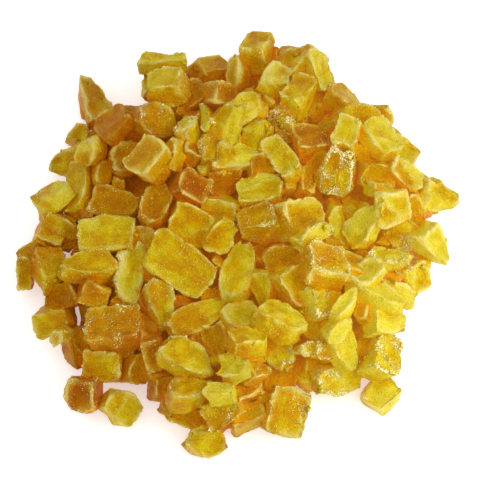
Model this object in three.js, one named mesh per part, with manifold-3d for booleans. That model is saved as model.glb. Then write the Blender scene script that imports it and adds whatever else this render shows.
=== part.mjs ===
// A loose heap of diced dried mango, about 120 mm across and 28 mm tall: soft sugared dice, slabs, leaf-shaped
// offcuts and torn shards that lie on one another and stick where they touch. The heap is one solid, a plain inner
// core with every piece that shows fused onto it. Millimetres, +Z up, origin at the middle of the heap's foot.
//
// The pieces are laid one at a time, as a hand would pour them: a hidden layer first, then the pieces that show, the
// lower ones before the upper ones. Each comes to rest on whatever already lies below it, and leans with the slope
// that it finds there.
import * as THREE from "three";
import { mergeVertices } from "three/addons/utils/BufferGeometryUtils.js";
import Module from "manifold-3d";

// Driving dimensions, in millimetres.
const CORE = { radius: 46.5, height: 14.5, rings: 4, sides: 18 }; // the inside of the heap, a low dome
const BED = { radius: 42, height: 4 }; // the dome inside it that the hidden pieces lie on
const HIDDEN = {
  radius: 40, // how far out the hidden pieces reach
  pitch: 10.6, // from one to the next
  scatter: 1.5, // how far one strays from its place
  length: [8.5, 11],
  width: [7.5, 9.5],
};
const PRESSED = 0.6; // how far a piece is pressed into what it lies on
const CLEAR_SHARE = 0.62; // the share of a piece's underside that stays clear of what it lies on
const STEEPEST = 0.65; // slope at which a leaning piece would slide off
const LEAN_SHARE = 0.85; // how much of the slope below it a piece takes up
const CORNER_STRAY = 0.09; // how far a cut corner strays, as a share of half the side
const THICKNESS_SPREAD = [0.9, 1.1]; // thinnest and thickest piece of a kind, as shares of the kind's thickness
const TEAR_WAVES = [3, 5]; // how often a torn edge goes in and out around the piece
const SECOND_TEAR = 0.6; // strength of the finer of the two

// How pieces are laid on a square map of heights.
const CELL = 1.25; // side of a cell of the map
const MAP_HALF = 70; // from the middle of the map to its edge
const CELLS = Math.round((2 * MAP_HALF) / CELL);
const FEELERS = 10; // how many steps across each face feel what lies below
const PASSES = 4; // how often a piece is moved until it shows where it should

// The rows of VISIBLE give where a piece shows when the heap is looked at from the front, this far above the table,
// with this point of the heap at the middle of the view.
const SIGHT_ELEVATION = THREE.MathUtils.degToRad(70);
const SIGHT_POINT = { x: 0.5, y: -2.5, z: 10 };

// How each kind of cut departs from a box. thick: its thickness in mm. thin: how much thinner one end is. narrow: how
// much narrower one end is. leaf: how much both ends narrow. curl: how far the ends lift. torn: how ragged it is.
const CUTS = {
  dice: { thick: 8.2, thin: 0.1, narrow: 0.06, leaf: 0.04, curl: 0, torn: 0.02 },
  slab: { thick: 5.6, thin: 0.15, narrow: 0.12, leaf: 0.1, curl: 0.06, torn: 0.04 },
  leaf: { thick: 5.8, thin: 0.25, narrow: 0.1, leaf: 0.55, curl: 0.08, torn: 0.03 },
  drop: { thick: 6.6, thin: 0.3, narrow: 0.55, leaf: 0.2, curl: 0.02, torn: 0.03 },
  lump: { thick: 7.4, thin: 0.15, narrow: 0.15, leaf: 0.4, curl: 0, torn: 0.04 },
  shard: { thick: 4.8, thin: 0.35, narrow: 0.35, leaf: 0.2, curl: 0.2, torn: 0.15 },
};

// The pieces that show, in the order they were laid: across and up as seen, the way the long side points in degrees,
// length, width, and cut.
const VISIBLE = [
  // the rim and the lower pieces
  [-19, 41, 0, 10, 8.2, "dice"],
  [47.3, 12.5, 10, 8, 7.5, "dice"],
  [5, 44.5, 80, 9, 8, "dice"],
  [-12, 37, 40, 10.1, 8.2, "dice"],
  [-27.5, 30.5, 10, 8.7, 7.7, "dice"],
  [-28.5, 22, 30, 9.7, 8.7, "lump"],
  [-44.5, -13.5, 0, 8.7, 7.7, "dice"],
  [-32, 30.5, 44, 10.1, 9.2, "slab"],
  [-42, 28.3, 60, 6.3, 5.3, "slab"],
  [-6.8, 43.9, 17, 9.1, 6.8, "dice"],
  [-4.6, 38, -6, 8.1, 6.6, "dice"],
  [5.1, 50.4, 68, 8.7, 7.3, "dice"],
  [0, 44.6, 90, 9.7, 4.6, "leaf"],
  [14.5, 47.8, 35, 10.6, 8.7, "lump"],
  [20, 35, 60, 8.7, 6.8, "lump"],
  [-12, 24.5, 80, 9.7, 5.8, "slab"],
  [19, 25.7, 12, 9.3, 8.3, "dice"],
  [27, 36.7, -30, 9.2, 8.1, "lump"],
  [36.3, 31.8, -20, 6.9, 6.6, "dice"],
  [42.4, 22.4, -25, 8.5, 7.5, "dice"],
  [33, 21.5, -15, 10.6, 5.8, "slab"],
  [35.5, 17.5, 5, 8.7, 7.2, "dice"],
  [43, 17, -35, 9.2, 7.7, "slab"],
  [-49, 7.3, 10, 6.4, 6, "lump"],
  [-47, 2.5, -22, 10.6, 9.2, "dice"],
  [-21, 9, 75, 11.6, 8.2, "lump"],
  [-53, -2.4, 20, 8.5, 6, "slab"],
  [-55, -8, 88, 8.2, 4.8, "slab"],
  [-37, -13.5, -15, 7.7, 6.8, "dice"],
  [-12.7, 14, -22, 8.9, 8.1, "dice"],
  [5.5, 5, 10, 9.7, 8.2, "dice"],
  [15.5, 5.5, 18, 12.1, 10.1, "dice"],
  [11, -3, 12, 9.2, 7.2, "lump"],
  [44.8, 8, -80, 10.1, 6.6, "dice"],
  [51.9, 11.7, 6, 11.2, 8.9, "shard"],
  [43.5, 2.5, -20, 11.6, 8.2, "lump"],
  [50.2, -3, -45, 10, 8.7, "drop"],
  [45.6, -8.6, -60, 7.5, 7, "dice"],
  [41.5, -13.5, -20, 7.9, 6.2, "slab"],
  [-47.2, -20.3, 6, 8.9, 7.6, "dice"],
  [-42, -27, -75, 10.1, 5.8, "slab"],
  [-34.6, -31.6, -8, 9.5, 8.8, "dice"],
  [-26.4, -32.6, 80, 8.3, 6, "slab"],
  [-21.5, -28.5, -80, 8.7, 6.3, "dice"],
  [-19.5, -34.2, 88, 7.7, 6, "dice"],
  [-39.3, -39.2, 88, 8.9, 7.5, "dice"],
  [-30.2, -42.8, -30, 9.8, 8.3, "slab"],
  [-5, -26.5, -75, 9.7, 6.8, "slab"],
  [10.5, -27.5, -60, 9.7, 8.2, "lump"],
  [-14.8, -43.3, -15, 9.4, 6.2, "dice"],
  [2, -44.3, 20, 8.4, 6.5, "dice"],
  [-8, -50.9, 0, 9.7, 8.7, "lump"],
  [12.2, -43.2, 76, 12.1, 9.7, "dice"],
  [1.5, -37, 20, 9.7, 7.7, "dice"],
  [20.5, -31.5, 5, 10.6, 6.3, "slab"],
  [32.5, -26, 70, 9.7, 6.3, "slab"],
  [36.8, -39.3, 40, 8.4, 7.6, "dice"],
  [18.5, -21.5, -50, 9.2, 6.8, "slab"],
  // the small bits between them
  [-19, 36.2, 0, 6.3, 3.4, "slab"],
  [-13, 28.6, 60, 6.3, 4.8, "lump"],
  [-16.5, 22.5, 75, 8.7, 3.9, "slab"],
  [-6.5, 19.5, 10, 8.7, 3.9, "shard"],
  [15.3, 33.2, -20, 6.3, 4.3, "slab"],
  [36.5, 14, 10, 5.8, 3.9, "slab"],
  [37.8, -12, 40, 5.3, 4.8, "lump"],
  [32.3, -18.5, 80, 5.3, 4.3, "dice"],
  [-9, -38.3, 88, 6.3, 3.4, "slab"],
  [16.5, -27.3, 0, 4.6, 4.1, "lump"],
  [21.5, -27.8, 0, 6.8, 5.3, "slab"],
  [-45, -23.8, 0, 3.9, 3.4, "lump"],
  [4.5, -33, 20, 7.2, 5.8, "slab"],
  [13.6, 15.5, 85, 7.7, 3.4, "slab"],
  [17, 15.5, 85, 7.7, 3.9, "slab"],
  // the upper pieces
  [-38.5, 37.2, 112, 13.5, 8.4, "drop"],
  [-18.3, 40.4, 0, 9.3, 8.7, "dice"],
  [-20, 47, -3, 12.3, 4.6, "slab"],
  [-41, 22, 3, 16.9, 8.7, "leaf"],
  [-22, 31.7, -30, 10.1, 9.2, "lump"],
  [-22.4, 21.2, 52, 10.1, 9.2, "dice"],
  [9.4, 42.3, 68, 9.2, 7.1, "slab"],
  [18, 46.5, 48, 11.6, 6.8, "slab"],
  [21.3, 45.2, -72, 10.6, 5.4, "slab"],
  [16, 38.5, 62, 10.6, 7.2, "slab"],
  [11.5, 31, -52, 9.7, 6.3, "shard"],
  [31, 33.4, 10, 11.1, 6.8, "leaf"],
  [28.3, 27.8, 75, 8.7, 6.1, "dice"],
  [37, 27, -58, 11.6, 8.5, "slab"],
  [-41.5, 14, 80, 13, 6.8, "slab"],
  [-48, 11.3, 15, 10.6, 6.6, "leaf"],
  [-31.5, 9.8, -20, 13, 8.2, "slab"],
  [-48.6, -6.8, -68, 9.8, 7.7, "dice"],
  [-39.5, -6.5, 195, 13.5, 9.2, "drop"],
  [39.5, 9, 3, 9.2, 9.2, "dice"],
  [39, -4.5, 12, 10.6, 6.8, "shard"],
  [-31.5, -22.5, 3, 13.5, 10.6, "dice"],
  [-12.6, -39, 15, 10.8, 7.7, "lump"],
  [-3, -43.3, 22, 9.7, 7.7, "dice"],
  [-4, -38.6, 0, 6.8, 4.8, "slab"],
  [25, -35.4, 15, 12.5, 7.7, "slab"],
  [36.6, -29.3, 78, 10.2, 7.4, "dice"],
  [38, -20.5, 10, 9.7, 8.2, "drop"],
  [0, -32, -20, 8.7, 6.3, "shard"],
  [-13.5, -30, -22, 13.5, 9.2, "lump"],
  [2.5, -26.5, 12, 10.1, 6.8, "dice"],
  [12, 21.5, -62, 12.5, 6.8, "slab"],
  [-34, 1.5, 0, 15, 10.1, "slab"],
  [-28, -8.5, 80, 14.5, 8.2, "shard"],
  [-20, -16.5, -76, 12.5, 9.2, "drop"],
  [2.3, 34.3, 20, 9.8, 7.7, "lump"],
  [4.5, 26.2, 60, 12.1, 9.2, "shard"],
  [-4, 27, 74, 17.4, 11.6, "shard"],
  [26, 18, 30, 12.1, 10.1, "shard"],
  [6, 13, 6, 11.6, 8.5, "slab"],
  [-4.5, 9, -15, 10.1, 6.3, "slab"],
  [-12.5, 5, -18, 10.6, 9.7, "dice"],
  [-5, 2, 52, 9.7, 7.2, "slab"],
  [18.5, 1.8, 40, 9.2, 5.3, "slab"],
  [7, -12, -76, 10.1, 6.8, "drop"],
  [14, -11.5, -58, 10.1, 7.7, "dice"],
  [-10.5, -19.5, 30, 16.4, 8.7, "leaf"],
  [1, -20, 16, 10.1, 8.7, "slab"],
  [10.5, -20.5, -24, 11.6, 9.2, "lump"],
  [21.5, -15.5, 22, 10.1, 8.7, "dice"],
  [26, -26.3, -68, 14, 7.2, "leaf"],
  [35.5, -14, -26, 14.5, 6.3, "leaf"],
  [33, -9, 35, 10.1, 7.2, "shard"],
  [27, -16.5, 56, 9.7, 4.8, "leaf"],
  [22, -6, 2, 11.2, 10.2, "dice"],
  [0, -8.5, 76, 15.9, 9.2, "leaf"],
  [-15, -6, -36, 19.3, 12.1, "slab"],
  [26, 2.5, -74, 13.5, 7.2, "shard"],
  [32.5, 4, 48, 13.5, 9.2, "shard"],
];

// A repeatable stream of numbers between two limits. FACTOR and MODULUS are those of the classic minimal generator.
const FACTOR = 16807;
const MODULUS = 2147483647;
const HIDDEN_SEED = 20611;
function makeDraw(seed) {
  let state = seed;
  return (low, high) => {
    state = (state * FACTOR) % MODULUS;
    return low + (high - low) * (state / MODULUS);
  };
}

// Each piece that shows has a stream of its own, known by where the piece shows in tenths of a millimetre.
const PLACE_OFFSET = 1000;
const PLACE_PRIMES = [7919, 104729];
function seedOf(across, up) {
  const steps = [across, up].map((length) => Math.round(length * 10) + PLACE_OFFSET);
  return steps[0] * PLACE_PRIMES[0] + steps[1] * PLACE_PRIMES[1];
}

// One piece before it is laid: its cut, its half sides and how its eight corners and its torn outline stray.
function makePiece(draw, length, width, spin, kind) {
  const cut = CUTS[kind];
  const stray = () => draw(-1, 1) * CORNER_STRAY;
  const corners = Array.from({ length: 8 }, () => [stray(), stray(), stray()]);
  const thickness = cut.thick * draw(...THICKNESS_SPREAD);
  const phases = TEAR_WAVES.map(() => draw(0, 2 * Math.PI));
  const half = [length / 2, width / 2, thickness / 2];
  return { cut, half, spin: THREE.MathUtils.degToRad(spin), corners, phases };
}

// The share that corner i of the cube from -1 to 1 has in the point (a, b, c).
function cornerShare(i, a, b, c) {
  return ((1 + (i & 1 ? a : -a)) * (1 + (i & 2 ? b : -b)) * (1 + (i & 4 ? c : -c))) / 8;
}

// The form of a piece: where the point (a, b, c) of the cube from -1 to 1 lies on it, in its own axes.
function formPoint({ cut, half, corners, phases }, a, b, c) {
  const angle = Math.atan2(b, a);
  const outward = Math.max(Math.abs(a), Math.abs(b));
  const coarse = Math.sin(TEAR_WAVES[0] * angle + phases[0]);
  const fine = SECOND_TEAR * Math.sin(TEAR_WAVES[1] * angle + phases[1]);
  const spread = 1 + cut.torn * (coarse + fine) * outward * outward;
  const end = (a + 1) / 2;
  const width = (1 - cut.narrow * end) * (1 - cut.leaf * a * a);
  const p = [a * spread, b * width * spread, c * (1 - cut.thin * end)];
  corners.forEach((stray, i) => {
    const share = cornerShare(i, a, b, c);
    stray.forEach((distance, axis) => {
      p[axis] += distance * share;
    });
  });
  return [p[0] * half[0], p[1] * half[1], p[2] * half[2] + cut.curl * half[0] * a * a];
}

// Points spread evenly over the whole surface of a piece, in its own axes.
function feel(piece) {
  const steps = Array.from({ length: FEELERS + 1 }, (_, i) => (2 * i) / FEELERS - 1);
  const points = [];
  for (const i of steps) {
    for (const j of steps) {
      for (const side of [-1, 1]) {
        points.push(formPoint(piece, i, j, side));
        points.push(formPoint(piece, i, side, j));
        points.push(formPoint(piece, side, i, j));
      }
    }
  }
  return points;
}

// The height of what has been laid so far, cell by cell; at first the bed alone.
const clamp = THREE.MathUtils.clamp;
const cellOf = (x) => clamp(Math.floor((x + MAP_HALF) / CELL), 0, CELLS - 1);
const cellAt = (x, y) => cellOf(x) * CELLS + cellOf(y);
const middleOf = (i) => (i + 0.5) * CELL - MAP_HALF;
const heights = new Float64Array(CELLS * CELLS);
heights.forEach((_, cell) => {
  const r = Math.hypot(middleOf(Math.floor(cell / CELLS)), middleOf(cell % CELLS));
  heights[cell] = BED.height * Math.max(0, 1 - (r / BED.radius) ** 2);
});

// The axes of a piece that points along its spin and leans with the slopes (sx, sy).
function axesOn(spin, sx, sy) {
  const along = new THREE.Vector3(Math.cos(spin), Math.sin(spin), 0);
  along.z = sx * along.x + sy * along.y;
  along.normalize();
  const up = new THREE.Vector3(-sx, -sy, 1).normalize();
  return new THREE.Matrix4().makeBasis(along, up.clone().cross(along), up);
}

const turned = (points, axes) => points.map((p) => new THREE.Vector3(...p).applyMatrix4(axes));
const sum = (values) => values.reduce((total, value) => total + value, 0);

// The slopes of the plane that best fits the heights below the points, as far as a piece takes them up.
function slopesBelow(points, x, y) {
  const below = points.map((p) => heights[cellAt(x + p.x, y + p.y)]);
  const mean = sum(below) / below.length;
  const xx = sum(points.map((p) => p.x * p.x));
  const xy = sum(points.map((p) => p.x * p.y));
  const yy = sum(points.map((p) => p.y * p.y));
  const xz = sum(points.map((p, i) => p.x * (below[i] - mean)));
  const yz = sum(points.map((p, i) => p.y * (below[i] - mean)));
  const divisor = xx * yy - xy * xy;
  const slopes = [(xz * yy - yz * xy) / divisor, (yz * xx - xz * xy) / divisor];
  return slopes.map((slope) => clamp(slope * LEAN_SHARE, -STEEPEST, STEEPEST));
}

// The lowest point of a piece above each cell that it covers.
function undersideOf(lying, x, y) {
  const under = new Map();
  for (const p of lying) {
    const cell = cellAt(x + p.x, y + p.y);
    under.set(cell, Math.min(p.z, under.get(cell) ?? p.z));
  }
  return under;
}

// Lets a piece down at (x, y) until it rests, and says where it lies.
function settle(piece, x, y) {
  const points = feel(piece);
  const slopes = slopesBelow(turned(points, axesOn(piece.spin, 0, 0)), x, y);
  const axes = axesOn(piece.spin, ...slopes);
  const lying = turned(points, axes);
  const lifts = [...undersideOf(lying, x, y)].map(([cell, low]) => heights[cell] - low);
  lifts.sort((a, b) => a - b);
  const rest = lifts[Math.floor(CLEAR_SHARE * lifts.length)] - PRESSED;
  const onTable = -Math.min(...lying.map((p) => p.z));
  return { piece, axes, lying, at: [x, y, Math.max(rest, onTable)] };
}

// Adds a settled piece to the heights.
function bury({ lying, at: [x, y, z] }) {
  for (const p of lying) {
    const cell = cellAt(x + p.x, y + p.y);
    heights[cell] = Math.max(heights[cell], z + p.z);
  }
}

// Lays the hidden pieces on a triangular grid.
function layHidden() {
  const draw = makeDraw(HIDDEN_SEED);
  const rowGap = (HIDDEN.pitch * Math.sqrt(3)) / 2;
  const reach = Math.ceil(HIDDEN.radius / rowGap);
  for (let row = -reach; row <= reach; row++) {
    for (let column = -reach; column <= reach; column++) {
      const x = (column + (row % 2) / 2) * HIDDEN.pitch + draw(-1, 1) * HIDDEN.scatter;
      const y = row * rowGap + draw(-1, 1) * HIDDEN.scatter;
      const size = [draw(...HIDDEN.length), draw(...HIDDEN.width)];
      const piece = makePiece(draw, ...size, draw(0, 180), "dice");
      if (Math.hypot(x, y) <= HIDDEN.radius) bury(settle(piece, x, y));
    }
  }
}

// Lays one piece so that it shows at (across, up) in the view that VISIBLE is given in.
function layVisible([across, up, spin, length, width, kind]) {
  const piece = makePiece(makeDraw(seedOf(across, up)), length, width, spin, kind);
  let laid = { at: [0, 0, SIGHT_POINT.z] };
  for (let pass = 0; pass < PASSES; pass++) {
    const raised = (laid.at[2] - SIGHT_POINT.z) * Math.cos(SIGHT_ELEVATION);
    const y = SIGHT_POINT.y + (up - raised) / Math.sin(SIGHT_ELEVATION);
    laid = settle(piece, SIGHT_POINT.x + across, y);
  }
  bury(laid);
  return laid;
}

const wasm = await Module();
wasm.setup();

// A closed surface as a solid; points closer than WELD are one.
const WELD = 1e-4;
function solidOf(geometry) {
  geometry.deleteAttribute("normal");
  geometry.deleteAttribute("uv");
  const merged = mergeVertices(geometry, WELD);
  const vertProperties = merged.getAttribute("position").array;
  const triVerts = new Uint32Array(merged.index.array);
  return new wasm.Manifold(new wasm.Mesh({ numProp: 3, vertProperties, triVerts }));
}

// A piece as a solid: a box of two by two by one fields, bent to the piece's form.
function pieceSolid({ piece, axes, at }) {
  const box = new THREE.BoxGeometry(2, 2, 2, 2, 2, 1);
  const position = box.getAttribute("position");
  for (let i = 0; i < position.count; i++) {
    const corner = [position.getX(i), position.getY(i), position.getZ(i)];
    position.setXYZ(i, ...formPoint(piece, ...corner));
  }
  return solidOf(box.applyMatrix4(axes).translate(...at));
}

// The inside of the heap.
function coreSolid() {
  const profile = [new THREE.Vector2(0, 0)];
  for (let ring = CORE.rings; ring >= 0; ring--) {
    const share = ring / CORE.rings;
    profile.push(new THREE.Vector2(CORE.radius * share, CORE.height * (1 - share * share)));
  }
  return solidOf(new THREE.LatheGeometry(profile, CORE.sides).rotateX(Math.PI / 2));
}

layHidden();
const visible = VISIBLE.map(layVisible);
const heap = wasm.Manifold.union([coreSolid(), ...visible.map(pieceSolid)]);

// A solid as a surface for the scene.
function geometryOf(solid) {
  const { vertProperties, triVerts, numProp } = solid.getMesh();
  const points = [];
  for (let i = 0; i < vertProperties.length; i += numProp) {
    points.push(vertProperties[i], vertProperties[i + 1], vertProperties[i + 2]);
  }
  const geometry = new THREE.BufferGeometry();
  geometry.setAttribute("position", new THREE.Float32BufferAttribute(points, 3));
  geometry.setIndex(new THREE.BufferAttribute(triVerts, 1));
  return geometry;
}

// The middle of the heap's foot comes to the origin.
const { min, max } = heap.boundingBox();
const surface = geometryOf(heap);
surface.translate(-(min[0] + max[0]) / 2, -(min[1] + max[1]) / 2, -min[2]);

const fruit = new THREE.MeshStandardMaterial({ color: 0xc0962a, roughness: 0.5, metalness: 0 });
const mesh = new THREE.Mesh(surface, fruit);
mesh.name = "mango_heap";
const group = new THREE.Group();
group.add(mesh);
export default group;
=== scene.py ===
"""A loose heap of diced dried mango on a white table, lit from the front right and seen from high in front.

Each piece is laid on those before it, as in the part, and then gets a fine surface of its own.
Lengths are in millimetres until an object is made. Tones run from 0, pale lemon, to 1, deep orange.
"""

import math

import bpy
import numpy as np
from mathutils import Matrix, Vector, noise
from mathutils.bvhtree import BVHTree


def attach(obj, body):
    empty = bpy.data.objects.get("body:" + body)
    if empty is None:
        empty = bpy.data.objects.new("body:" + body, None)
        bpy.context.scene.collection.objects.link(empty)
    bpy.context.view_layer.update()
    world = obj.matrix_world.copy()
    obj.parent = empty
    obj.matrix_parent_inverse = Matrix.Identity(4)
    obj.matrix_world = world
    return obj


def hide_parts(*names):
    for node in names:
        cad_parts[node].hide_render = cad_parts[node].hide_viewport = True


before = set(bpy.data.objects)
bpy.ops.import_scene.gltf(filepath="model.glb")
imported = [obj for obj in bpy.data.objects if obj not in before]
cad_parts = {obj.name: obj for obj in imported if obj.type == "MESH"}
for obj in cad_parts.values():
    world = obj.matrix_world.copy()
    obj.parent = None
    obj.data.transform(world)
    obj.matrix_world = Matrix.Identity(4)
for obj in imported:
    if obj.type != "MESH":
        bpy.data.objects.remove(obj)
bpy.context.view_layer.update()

# ---------------- sizes and places

MM = 0.001
SIGHT_ELEVATION = math.radians(70)
SIGHT_POINT = (0.5, -2.5, 10)  # the point of the heap from which places in the picture plane are counted
TOWARDS_EYE = Vector((0, -math.cos(SIGHT_ELEVATION), math.sin(SIGHT_ELEVATION)))
LAMP_AZIMUTH, LAMP_ELEVATION = -22, 38  # degrees

CELL = 1.25  # side of a cell of the map of heights
MAP_HALF = 70
CELLS = round(2 * MAP_HALF / CELL)
BED_RADIUS = 42  # the low mound that the first pieces settle on
BED_HEIGHT = 4
FEELER_STEPS = 10  # steps between the points along each edge with which a piece feels what lies below
PRESSED = 0.6  # how far a piece sinks into those below
SETTLED_SHARE = 0.62  # share of the cells below that a piece clears before it sinks in
STEEPEST = 0.65  # slope on which a piece can lean
LEAN_SHARE = 0.85  # how much of the slope below it takes up
CORNER_STRAY = 0.09
THICKNESS_STRAY = (0.9, 1.1)
TEARS = 3  # waves round a ragged outline, and the finer ones on them
TEARS_FINE = 5
TEARS_FINE_SHARE = 0.6
SEED_STEPS = 10
SEED_START = 1000
SEED_FACTORS = (7919, 104729)
SIGHT_ROUNDS = 4  # how often a piece's place is corrected for the height at which it comes to rest

# the layer of dice that lies under those that show
LAYER_SEED = 20611
LAYER_RADIUS = 40
LAYER_PITCH = 10.6
LAYER_SCATTER = 1.5
LAYER_LENGTH = (8.5, 11)
LAYER_WIDTH = (7.5, 9.5)
LAYER_TONE = 0.7

# thickness, how much thinner and narrower one end is, how much both ends narrow, curl and raggedness
CUTS = {
    "dice": (8.2, 0.1, 0.06, 0.04, 0, 0.02),
    "slab": (5.6, 0.15, 0.12, 0.1, 0.06, 0.04),
    "leaf": (5.8, 0.25, 0.1, 0.55, 0.08, 0.03),
    "drop": (6.6, 0.3, 0.55, 0.2, 0.02, 0.03),
    "lump": (7.4, 0.15, 0.15, 0.4, 0, 0.04),
    "shard": (4.8, 0.35, 0.35, 0.2, 0.2, 0.15),
}

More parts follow.
